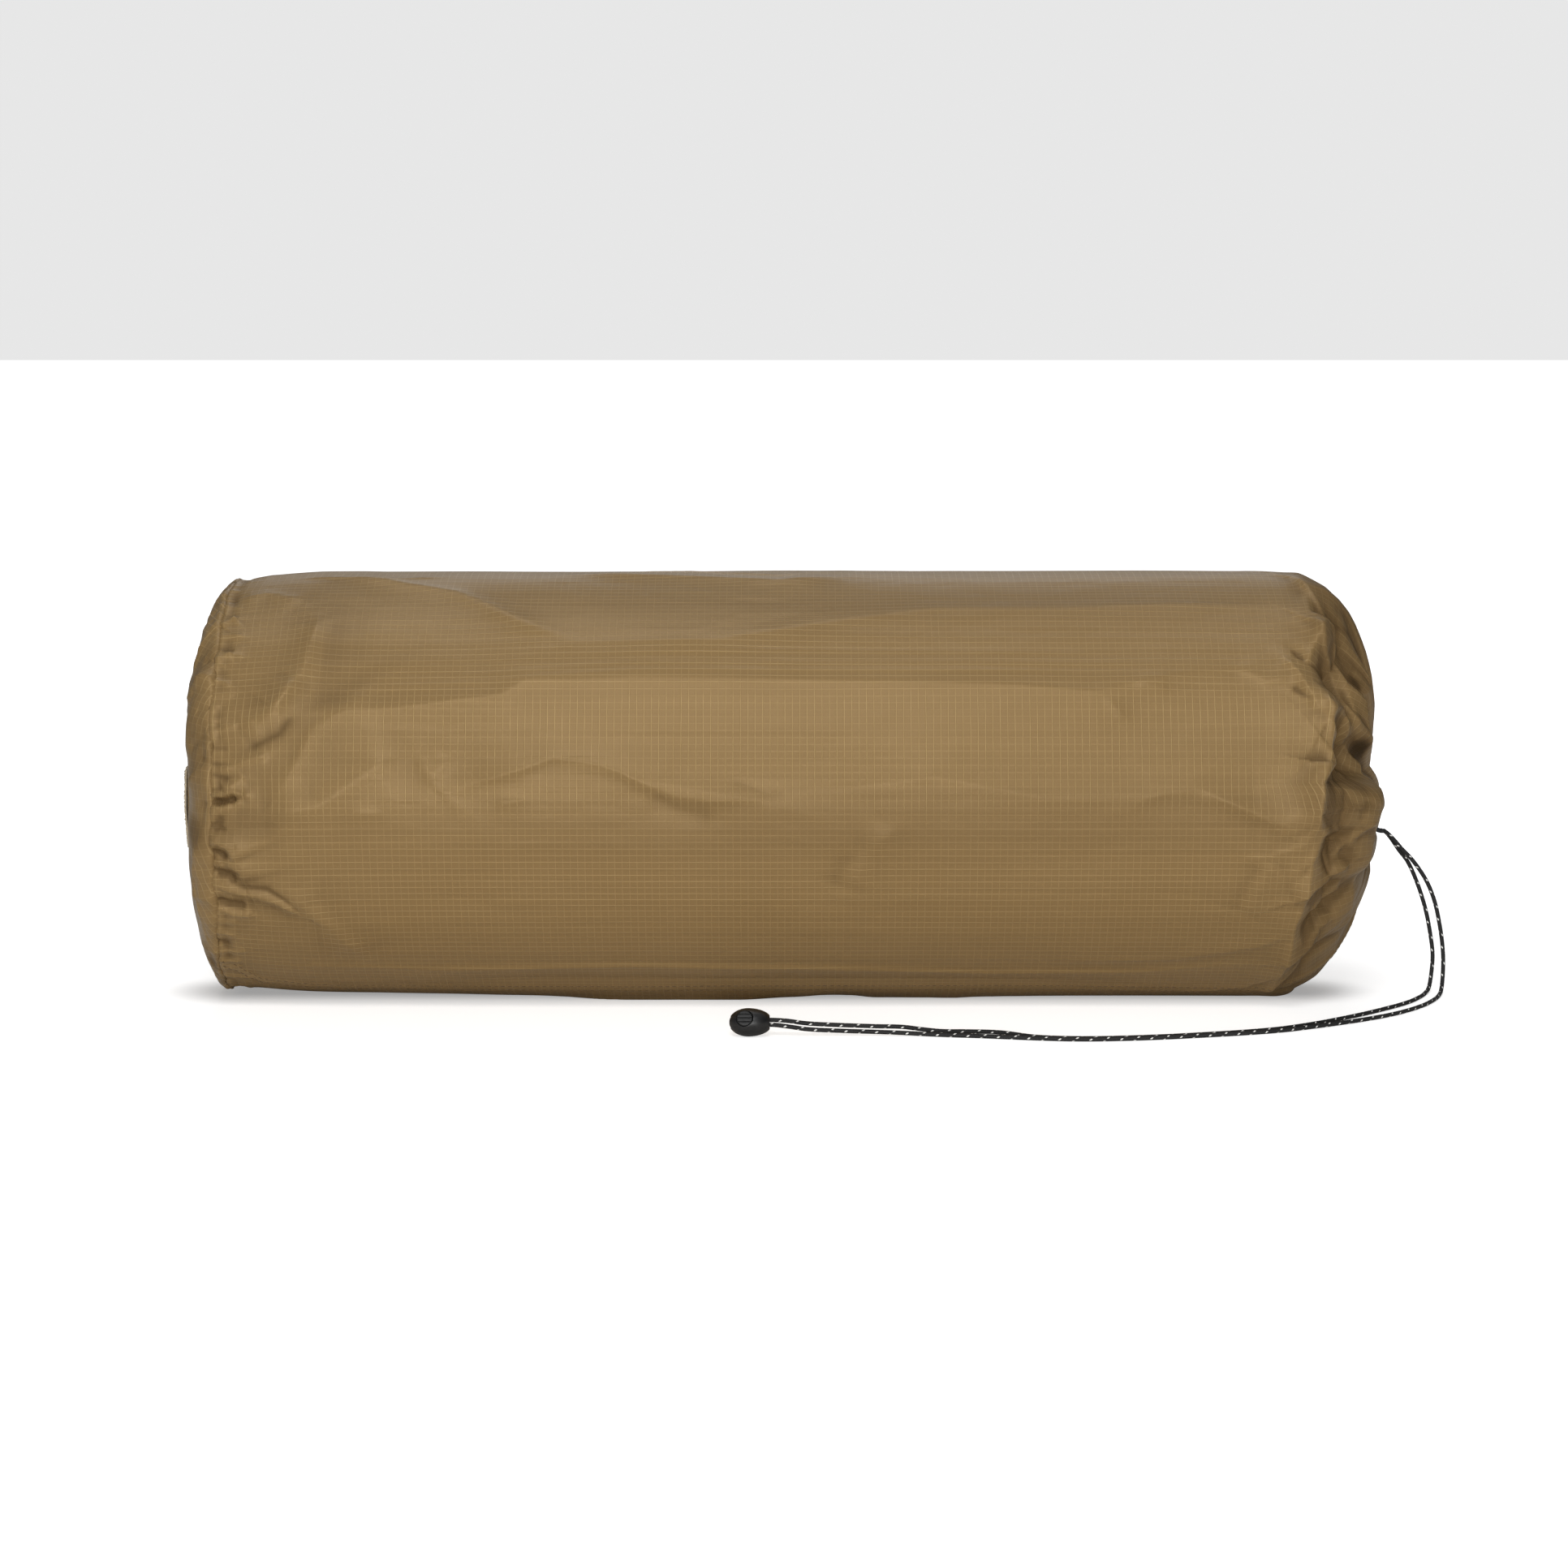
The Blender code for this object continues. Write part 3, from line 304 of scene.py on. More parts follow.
def mesh_of(
    name: str,
    points: np.ndarray,
    faces: np.ndarray,
    corners: Optional[np.ndarray] = None,
    smooth: bool = True,
) -> bpy.types.Mesh:
    """Makes a mesh from arrays.

    Args:
        name: the mesh's name.
        points: its points, one a row.
        faces: its faces, all with the same number of corners.
        corners: the place on the flat cloth of each corner of each face, where it has one.
        smooth: whether it is shaded smooth.

    Returns:
        The mesh.
    """
    mesh = bpy.data.meshes.new(name)
    mesh.vertices.add(len(points))
    mesh.vertices.foreach_set("co", np.ascontiguousarray(points, np.float32).ravel())
    mesh.loops.add(faces.size)
    mesh.loops.foreach_set("vertex_index", np.ascontiguousarray(faces, np.int32).ravel())
    mesh.polygons.add(len(faces))
    starts = np.arange(0, faces.size, faces.shape[1], dtype=np.int32)
    mesh.polygons.foreach_set("loop_start", starts)
    mesh.update(calc_edges=True)
    mesh.validate()
    if corners is not None:
        layer = mesh.uv_layers.new(name="flat")
        layer.data.foreach_set("uv", np.ascontiguousarray(corners, np.float32).ravel())
    mesh.polygons.foreach_set("use_smooth", [smooth] * len(mesh.polygons))
    return mesh


def skin(
    name: str,
    rows: np.ndarray,
    flat: Optional[np.ndarray] = None,
    ring: bool = True,
    flip: bool = False,
) -> bpy.types.Mesh:
    """Skins a grid of points.

    Args:
        name: the mesh's name.
        rows: points by row, column and axis.
        flat: the place on the flat cloth by row and column, with one more column on a ring.
        ring: whether the last column joins the first.
        flip: whether its faces point the other way.

    Returns:
        The mesh.
    """
    count, wide = rows.shape[:2]
    spans = wide if ring else wide - 1
    near = np.arange(count - 1)[:, None]
    side = np.arange(spans)[None]
    following = (side + 1) % wide
    corners = [near * wide + side, near * wide + following]
    corners += [(near + 1) * wide + following, (near + 1) * wide + side]
    order = slice(None, None, -1) if flip else slice(None)
    faces = np.stack(np.broadcast_arrays(*corners), -1)[..., order].reshape(-1, 4)
    places = None
    if flat is not None:
        right = side + 1
        stack = [flat[near, side], flat[near, right], flat[near + 1, right], flat[near + 1, side]]
        places = np.stack(stack, -2)[..., order, :].reshape(-1, 2)
    return mesh_of(name, rows.reshape(-1, 3), faces, places)


def coat(obj: bpy.types.Object, *materials: bpy.types.Material) -> bpy.types.Object:
    """Dresses a piece in its materials."""
    obj.data.materials.clear()
    for material in materials:
        obj.data.materials.append(material)
    return obj


def plain(obj: bpy.types.Object) -> bpy.types.Object:
    """Turns a piece with its modifiers into a plain mesh.

    Args:
        obj: the piece.

    Returns:
        The same piece with a plain mesh and no modifier.
    """
    bpy.context.view_layer.update()
    graph = bpy.context.evaluated_depsgraph_get()
    mesh = bpy.data.meshes.new_from_object(obj.evaluated_get(graph))
    name = obj.name
    bpy.data.objects.remove(obj, do_unlink=True)
    fresh = link(name, mesh)
    mesh.name = name
    return fresh


def route(knots: Sequence[Vector], start: Vector, end: Vector, count: int) -> np.ndarray:
    """Evenly spaced points on a smooth line through the knots.

    Args:
        knots: the points that it goes through.
        start: its direction at the first.
        end: its direction at the last.
        count: how many points to give.

    Returns:
        The points, one a row.
    """
    ways = [start.normalized()]
    for before, knot, after in zip(knots, knots[1:], knots[2:]):
        ways.append(((knot - before).normalized() + (after - knot).normalized()).normalized())
    ways.append(end.normalized())
    dense = [knots[0]]
    for i in range(len(knots) - 1):
        third = (knots[i + 1] - knots[i]).length / 3
        handle = knots[i] + ways[i] * third
        next_handle = knots[i + 1] - ways[i + 1] * third
        dense += interpolate_bezier(knots[i], handle, next_handle, knots[i + 1], 24)[1:]
    line = np.array([tuple(point) for point in dense])
    return spaced(line, count)


def run_of(line: np.ndarray) -> np.ndarray:
    """How far along the line each of its points lies."""
    return np.concatenate([[0.0], np.cumsum(np.linalg.norm(np.diff(line, axis=0), axis=1))])


def spaced(line: np.ndarray, count: int) -> np.ndarray:
    """The same line with its points evenly spaced."""
    run = run_of(line)
    goals = np.linspace(0.0, run[-1], count)
    return np.stack([np.interp(goals, run, line[:, k]) for k in range(3)], 1)


def tube(name: str, line: np.ndarray, radius: float, sides: int) -> bpy.types.Mesh:
    """A round tube along a line, its ends rounded shut, laid out flat by its length and its girth.

    Args:
        name: the mesh's name.
        line: the points that it follows.
        radius: its radius.
        sides: how many faces go round it.

    Returns:
        The mesh.
    """
    ways = np.gradient(line, axis=0)
    ways /= np.linalg.norm(ways, axis=1)[:, None]
    side = np.cross(ways[0], (0.0, 0.0, 1.0))
    if np.linalg.norm(side) < 0.1:
        side = np.cross(ways[0], (0.0, 1.0, 0.0))
    sides_of = []
    for way in ways:
        side = side - way * side.dot(way)
        side /= np.linalg.norm(side)
        sides_of.append(side)
    across = np.array(sides_of)
    up = np.cross(ways, across)
    turns = np.arange(sides) * 2 * math.pi / sides
    ring = np.cos(turns)[None, :, None] * across[:, None] + np.sin(turns)[None, :, None] * up[:, None]
    rows = line[:, None] + ring * radius
    run = run_of(line)
    first = [line[0] - ways[0] * radius * k + ring[0] * radius * r for k, r in ((0.5, 0.0), (0.4, 0.6))]
    last = [line[-1] + ways[-1] * radius * k + ring[-1] * radius * r for k, r in ((0.4, 0.6), (0.5, 0.0))]
    rows = np.concatenate([np.array(first), rows, np.array(last)])
    run = np.concatenate([[run[0], run[0]], run, [run[-1], run[-1]]])
    girth = np.arange(sides + 1) / sides
    flat = np.stack(np.broadcast_arrays(run[:, None], girth[None]), -1)
    return weld(skin(name, rows, flat))


def turned(name: str, profile: Sequence[tuple[float, float]], sides: int) -> bpy.types.Mesh:
    """A solid turned about its own Z axis.

    Args:
        name: the mesh's name.
        profile: (radius, height) pairs, the outer side running down, both ends on the axis.
        sides: how many faces go round it.

    Returns:
        The welded mesh.
    """
    turns = np.arange(sides) * 2 * math.pi / sides
    radii = np.array([radius for radius, _ in profile])
    heights = np.array([height for _, height in profile])
    ring = np.stack([np.cos(turns), np.sin(turns)], -1)
    rows = np.zeros((len(profile), sides, 3))
    rows[..., :2] = radii[:, None, None] * ring[None]
    rows[..., 2] = heights[:, None]
    mesh = skin(name, rows)
    return weld(mesh)


def weld(mesh: bpy.types.Mesh) -> bpy.types.Mesh:
    """Merges points that touch, and turns the faces outwards."""
    shape = bmesh.new()
    shape.from_mesh(mesh)
    bmesh.ops.remove_doubles(shape, verts=shape.verts, dist=TOUCHING)
    bmesh.ops.dissolve_degenerate(shape, edges=shape.edges, dist=TOUCHING / 4)
    bmesh.ops.recalc_face_normals(shape, faces=shape.faces)
    shape.to_mesh(mesh)
    shape.free()
    mesh.polygons.foreach_set("use_smooth", [True] * len(mesh.polygons))
    return mesh


@dataclass(frozen=True)
class Ripstop:
    """Thin coyote nylon with a grid of thicker ribs woven in."""

    name: str = "coyote_ripstop"
    colour: Colour = (0.256, 0.164, 0.069)
    rib_colour: Colour = (0.415, 0.284, 0.126)
    gloss_tint: Colour = (1.0, 0.74, 0.44)
    rib_pitch: float = 3.36 * MM
    row_pitch: float = 3.20 * MM
    yarn_pitch: float = 0.55 * MM
    pale_colour: Colour = (0.320, 0.215, 0.100)
    slub_colour: Colour = (0.200, 0.128, 0.056)
    streak_colour: Colour = (0.190, 0.120, 0.050)
    # Painted shade: the colours that the cloth darkens to in creases and shaded patches, and in the deepest
    # creases.
    painted_shade_colour: Colour = (0.105, 0.062, 0.025)
    painted_deep_shade_colour: Colour = (0.028, 0.017, 0.007)
    rib_share: float = 0.10
    relief: float = 0.16 * MM

    def rib(self, place: Socket, pitch: float) -> Socket:
        """The height of the ribs that cross one direction, from 0 to 1."""
        away = abs((place / pitch).repeat() - 0.5)
        return 1.0 - away.ease(self.rib_share * 0.3, self.rib_share)

    def material(self) -> bpy.types.Material:
        """Builds the cloth, which reads the flat cloth in metres and the painted shade in its fold
        attribute, which darkens its colour in creases and shaded patches.
        """
        graph = Graph(self.name)
        flat, around, along = graph.flat("flat")
        rings = self.rib(along, self.rib_pitch)
        rows = self.rib(around, self.row_pitch)
        uneven = graph.noise(graph.stretch(flat, (22.0, 300.0, 1.0)), 1.0, 2.0)
        uneven_rows = graph.noise(graph.stretch(flat, (300.0, 14.0, 1.0)), 1.0, 2.0)
        # Painted highlight: in a fixed band from the front up to about 31 degrees, where the key lamp
        # glints, the ring ribs are paler and the row ribs fainter.
        painted_glint_band = around.ease(-0.006, 0.006) * (1.0 - around.ease(0.048, 0.060))
        rings = rings * (0.45 + uneven) * (0.40 + painted_glint_band * 0.75)
        rows = rows * (0.35 + uneven_rows * 0.7) * (1.0 - painted_glint_band * 0.55)
        grid = rings.most(rows)
        yarns = 2 * math.pi / self.yarn_pitch
        weave = ((around * yarns).wave() * (along * yarns).wave()) * 0.5 + 0.5
        cloudy = graph.noise(flat, 18.0, 3.0)
        slubs = graph.noise(graph.stretch(flat, (900.0, 60.0, 1.0)), 1.0, 1.0)
        streak = graph.noise(graph.stretch(flat, (230.0, 5.0, 1.0)), 1.0, 3.0).ease(0.36, 0.66)
        crumple = abs(graph.noise(graph.stretch(flat, (40.0, 15.0, 1.0)), 1.0, 1.0) - 0.5)
        crumple = crumple + abs(graph.noise(graph.stretch(flat, (75.0, 48.0, 1.0)), 1.0, 1.0) - 0.5) * 0.45
        patchy = graph.noise(graph.stretch(flat, (13.0, 9.0, 1.0)), 1.0, 1.0).ease(0.38, 0.62)
        # Painted shade: the fold attribute darkens the colour in creases and shaded patches, and darkest
        # past 1.
        painted_shade = graph.attribute("fold")
        base = graph.mix(grid * 0.85, self.colour, self.rib_colour)
        base = graph.mix(cloudy.ease(0.35, 0.7) * 0.10, base, self.pale_colour)
        base = graph.mix(slubs.ease(0.55, 0.8) * 0.10, base, self.slub_colour)
        base = graph.mix(streak * 0.16, base, self.streak_colour)
        base = graph.mix(painted_shade * 0.75, base, self.painted_shade_colour)
        base = graph.mix(painted_shade.ease(1.0, 1.8) * 0.85, base, self.painted_deep_shade_colour)
        rough = 0.33 - grid * 0.10 + cloudy * 0.05 + painted_shade * 0.25
        height = grid * 0.7 + weave * 0.10 + slubs * 0.10 + streak * 0.45 + crumple * (1.5 + patchy * 5.0)
        inputs = {"Base Color": base, "Roughness": rough, "Normal": graph.bump(height, self.relief)}
        inputs["Specular IOR Level"] = 0.33
        inputs["Specular Tint"] = (*self.gloss_tint, 1.0)
        return graph.finish(inputs)


@dataclass(frozen=True)
class PackedCloth:
    """The thin cloth of the things inside the sack."""

    name: str
    colour: Colour
    roughness: float = 0.62

    def material(self) -> bpy.types.Material:
        """Builds a plain weave with soft creases."""
        graph = Graph(self.name)
        place = graph.place()
        crumple = graph.noise(graph.stretch(place, (26.0, 90.0, 90.0)), 1.0, 4.0)
        grain = graph.noise(place, 1700.0, 1.0)
        darker = tuple(0.72 * value for value in self.colour)
        base = graph.mix(crumple.ease(0.3, 0.7), darker, self.colour)
        normal = graph.bump(crumple + grain * 0.06, 1.2 * MM)
        return graph.finish({"Base Color": base, "Roughness": self.roughness, "Normal": normal})


@dataclass(frozen=True)
class BraidedCord:
    """Black braided cord with a pale reflective yarn that shows as short slanting flecks."""

    name: str = "black_cord"
    diameter: float = 2.0 * MM
    fleck_pitch: float = 6.9 * MM
    fleck_width: float = 0.80 * MM
    plait: float = 1.35 * MM
    dark: Colour = (0.0055, 0.0055, 0.006)
    lighter: Colour = (0.024, 0.024, 0.025)
    fleck_colour: Colour = (0.95, 0.95, 0.92)

    def material(self) -> bpy.types.Material:
        """Builds the braid, which reads the cord's length in metres and its girth as a share."""
        graph = Graph(self.name)
        _, along, girth = graph.flat("flat")
        steps = along / self.plait
        right = ((steps + girth * 4.0) * (2 * math.pi)).wave()
        left = ((steps - girth * 4.0) * (2 * math.pi)).wave()
        plait = right * left * 0.5 + 0.5
        fray = graph.noise(graph.place(), 2600.0, 2.0)
        turn = along / self.fleck_pitch + girth
        span = (turn.repeat() - 0.5) * self.fleck_pitch
        yarn = 1.0 - abs(span).ease(self.fleck_width * 0.42, self.fleck_width * 0.75)
        seen = 1.0 - abs((girth * 3.0 - along / (self.fleck_pitch * 2.0)).repeat() - 0.5).ease(0.17, 0.27)
        fleck = yarn * seen
        base = graph.mix(plait * 0.5 + fray * 0.4, self.dark, self.lighter)
        base = graph.mix(fleck, base, self.fleck_colour)
        height = plait * 0.8 + fray * 0.35 + fleck * 0.2
        inputs = {"Base Color": base, "Roughness": 0.68, "Normal": graph.bump(height, 0.22 * MM)}
        return graph.finish(inputs)


@dataclass(frozen=True)
class PlainBraid:
    """Black braided cord or binding with no fleck."""

    name: str = "plain_braid"
    colour: Colour = (0.016, 0.016, 0.017)

    def material(self) -> bpy.types.Material:
        """Builds a fine woven black."""
        graph = Graph(self.name)
        grain = graph.noise(graph.place(), 1500.0, 2.0)
        lighter = tuple(2.4 * value for value in self.colour)
        base = graph.mix(grain.ease(0.35, 0.7), self.colour, lighter)
        return graph.finish({"Base Color": base, "Roughness": 0.74, "Normal": graph.bump(grain, 0.25 * MM)})


@dataclass(frozen=True)
class MouldedAcetal:
    """Satin black moulded plastic with a fine eroded grain and a little handling wear."""

    name: str = "black_acetal"
    colour: Colour = (0.0085, 0.0085, 0.009)
    roughness: float = 0.26

    def material(self) -> bpy.types.Material:
        """Builds the plastic."""
        graph = Graph(self.name)
        place = graph.place()
        grain = graph.noise(place, 2400.0, 2.0)
        rubbed = graph.noise(place, 260.0, 3.0)
        paler = tuple(2.3 * value for value in self.colour)
        base = graph.mix(rubbed.ease(0.45, 0.75) * 0.6, self.colour, paler)
        rough = self.roughness + rubbed * 0.20
        return graph.finish({"Base Color": base, "Roughness": rough,
            "Normal": graph.bump(grain, 0.03 * MM)})


@dataclass(frozen=True)
class LoopTape:
    """Soft nylon loop tape, its backing and its loops."""

    name: str = "loop_tape"
    colour: Colour = (0.760, 0.640, 0.450)

    def material(self) -> bpy.types.Material:
        """Builds the fuzzy pile."""
        graph = Graph(self.name)
        clump = graph.noise(graph.place(), 420.0, 3.0)
        darker = tuple(0.62 * value for value in self.colour)
        base = graph.mix(clump.ease(0.3, 0.72), darker, self.colour)
        inputs = {"Base Color": base, "Roughness": 0.9, "Normal": graph.bump(clump, 0.5 * MM)}
        inputs.update({"Sheen Weight": 0.35, "Sheen Roughness": 0.6})
        return graph.finish(inputs)


@dataclass(frozen=True)
class Metal:
    """Drawn or anodised metal with fine lines along its length."""

    name: str
    colour: Colour
    roughness: float = 0.34

    def material(self) -> bpy.types.Material:
        """Builds the metal."""
        graph = Graph(self.name)
        place = graph.place()
        lines = graph.noise(graph.stretch(place, (25.0, 2600.0, 2600.0)), 1.0, 2.0)
        rubbed = graph.noise(place, 70.0, 3.0)
        darker = tuple(0.82 * value for value in self.colour)
        base = graph.mix(rubbed.ease(0.35, 0.7), darker, self.colour)
        rough = self.roughness + lines * 0.14 - 0.05
        inputs = {"Base Color": base, "Metallic": 1.0, "Roughness": rough,
            "Normal": graph.bump(lines, 0.01 * MM)}
        return graph.finish(inputs)


@dataclass(frozen=True)
class Thread:
    """Bonded sewing thread."""

    name: str = "sewing_thread"
    colour: Colour = (0.085, 0.052, 0.022)

    def material(self) -> bpy.types.Material:
        """Builds the twisted thread."""
        graph = Graph(self.name)
        twist = graph.noise(graph.place(), 3000.0, 1.0)
        lighter = tuple(1.45 * value for value in self.colour)
        base = graph.mix(twist, self.colour, lighter)
        return graph.finish({"Base Color": base, "Roughness": 0.55, "Normal": graph.bump(twist, 0.05 * MM)})


class Finishes:
    """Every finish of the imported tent, built once."""

    def __init__(self) -> None:
        """Builds the materials."""
        self.ripstop = Ripstop().material()
        self.fly = PackedCloth("fly_cloth", (0.235, 0.165, 0.082)).material()
        self.tent = PackedCloth("tent_cloth", (0.300, 0.235, 0.140), 0.72).material()
        self.cord = BraidedCord().material()
        self.braid = PlainBraid().material()
        self.acetal = MouldedAcetal().material()
        # Painted shade: the button is a darker black than the housing, for the shade in its recess.
        self.button = MouldedAcetal("matt_acetal", (0.0032, 0.0032, 0.0034), 0.42).material()
        self.tape = LoopTape().material()
        self.thread = Thread().material()
        self.spring = Metal("spring_steel", (0.560, 0.560, 0.570), 0.28).material()
        self.aluminium = Metal("bare_aluminium", (0.640, 0.650, 0.660), 0.32).material()
        self.stake = Metal("anodised_stake", (0.420, 0.110, 0.060), 0.38).material()


class Fold(Enum):
    """How a crease in the cloth stands: its nearer width, its farther width and its roundness, in mm."""

    FACET = (13.0, 13.0, 0.6)
    RIDGE = (2.4, 2.4, 0.45)
    STEP = (1.8, 9.0, 0.45)
    DROP = (9.0, 1.8, 0.45)
    SOFT = (5.5, 5.5, 1.6)
    FINE = (1.5, 1.5, 0.5)


# Short names for the tables
FACET, RIDGE, STEP, DROP, SOFT, FINE = Fold


@dataclass(frozen=True)
class Crease:
    """One crease: its line over the cloth as (mm from the base seam, degrees up), and its height in mm."""

    fold: Fold
    height: float
    line: tuple[tuple[float, float], ...]
    spread: float = 1.0


@dataclass(frozen=True)
class Swell:
    """One rounded swelling or hollow: its middle and reach are (mm, degrees), its height is in mm."""

    height: float
    middle: tuple[float, float]
    reach: tuple[float, float]
    edge: float = 2.0
    lean: float = 0.0


def swell_field(swells: Sequence[Swell], along_mm: np.ndarray, degrees: np.ndarray) -> np.ndarray:
    """The summed height of swellings, in mm by row and column."""
    total = np.zeros((len(along_mm), len(degrees)))
    for swell in swells:
        x = (along_mm[:, None] - swell.middle[0]) / swell.reach[0]
        y = (degrees[None] - swell.middle[1] - swell.lean * x) / swell.reach[1]
        total += swell.height * np.exp(-(np.hypot(x, y) ** swell.edge))
    return total


def soft_lattice(seed: int, rows: np.ndarray, turns: np.ndarray, cells: tuple[int, int]) -> np.ndarray:
    """Soft noise over the cloth that joins up round the sack.

    Args:
        seed: what fixes it.
        rows: the place along the cloth of each row, from 0 to 1.
        turns: the place round the cloth of each column, from 0 to 1.
        cells: how many waves it has along and round.

    Returns:
        Values from -1 to 1 by row and column.
    """
    grid = np.random.default_rng(seed).uniform(-1.0, 1.0, (cells[0] + 2, cells[1]))
    a = rows * cells[0]
    b = turns * cells[1]
    i = np.clip(np.floor(a).astype(int), 0, cells[0])
    j = np.floor(b).astype(int)
    fa = eased(a - i)[:, None]
    fb = eased(b - j)[None]
    j0 = j % cells[1]
    j1 = (j + 1) % cells[1]
    low = grid[i][:, j0] * (1 - fb) + grid[i][:, j1] * fb
    high = grid[i + 1][:, j0] * (1 - fb) + grid[i + 1][:, j1] * fb
    return low * (1 - fa) + high * fa


def long_seam(along_mm: np.ndarray) -> np.ndarray:
    """How many degrees up the long felled seam lies at places along the cloth."""
    places, degrees = zip(*LONG_SEAM)
    return np.interp(along_mm, places, degrees)


def eased(share: np.ndarray) -> np.ndarray:
    """A share from 0 to 1 with a soft start and end."""
    return share * share * (3 - 2 * share)


def softened(value: np.ndarray, soft: float) -> np.ndarray:
    """A value where it is over 0, and 0 where it is under, with a soft bend between."""
    return soft * np.log1p(np.exp(np.clip(value / soft, -30, 30)))


def smoothed(field_values: np.ndarray, times: int) -> np.ndarray:
    """Values by row and column, each drawn to its neighbours a number of times."""
    smooth = field_values.copy()
    for _ in range(times):
        smooth = (smooth + np.roll(smooth, 1, 1) + np.roll(smooth, -1, 1)) / 3
        smooth[1:-1] = (smooth[1:-1] + smooth[:-2] + smooth[2:]) / 3
    return smooth


def mark_painted_shade(mesh: bpy.types.Mesh, depth: np.ndarray) -> None:
    """Writes the painted shade of each point, how deep it lies in a fold or a shaded patch, which the
    cloth's finish turns into darker colour.
    """
    layer = mesh.attributes.new("fold", "FLOAT", "POINT")
    layer.data.foreach_set("value", np.ascontiguousarray(depth, np.float32).ravel())


def crease_field(creases: Sequence[Crease], along_mm: np.ndarray, degrees: np.ndarray,
        girth_mm: float) -> np.ndarray:
    """The summed height of the creases.

    Args:
        creases: the creases.
        along_mm: the place of each row along the cloth.
        degrees: the place of each column round the sack, from -180 to 180.
        girth_mm: millimetres of cloth to one degree.

    Returns:
        Heights in mm by row and column.
    """
    total = np.zeros((len(along_mm), len(degrees)))
    for crease in creases:
        near, far, rounding = (value * crease.spread for value in crease.fold.value)
        line = np.array(crease.line)
        reach = 3.2 * max(near, far)
        rows = np.where((along_mm > line[:, 0].min() - reach) & (along_mm < line[:, 0].max() + reach))[0]
        span = reach / girth_mm
        columns = np.where((degrees > line[:, 1].min() - span) & (degrees < line[:, 1].max() + span))[0]
        if not len(rows) or not len(columns):
            continue
        x = along_mm[rows][:, None]
        y = (degrees[columns] * girth_mm)[None]
        points = np.stack([line[:, 0], line[:, 1] * girth_mm], 1)
        lengths = np.linalg.norm(np.diff(points, axis=0), axis=1)
        whole = lengths.sum()
        run = 0.0
        best = np.full((len(rows), len(columns)), 1e9)
        signed = np.zeros_like(best)
        share = np.zeros_like(best)
        for (ax, ay), (bx, by), length in zip(points, points[1:], lengths):
            dx = (bx - ax) / length
            dy = (by - ay) / length
            t = np.clip((x - ax) * dx + (y - ay) * dy, 0.0, length)
            away = np.hypot(x - ax - t * dx, y - ay - t * dy)
            side = (x - ax) * dy - (y - ay) * dx
            closer = away < best
            best = np.where(closer, away, best)
            signed = np.where(closer, side, signed)
            share = np.where(closer, (run + t) / whole, share)
            run += length
        wide = np.where(signed > 0, near, far)
        blend = np.exp(-(np.sqrt(best**2 + rounding**2) - rounding) / wide)
        taper = np.clip(np.minimum(share, 1.0 - share) * 5.0, 0.0, 1.0)
        taper = 0.25 + 0.75 * taper * taper * (3 - 2 * taper)
        total[np.ix_(rows, columns)] += crease.height * blend * taper
    return total


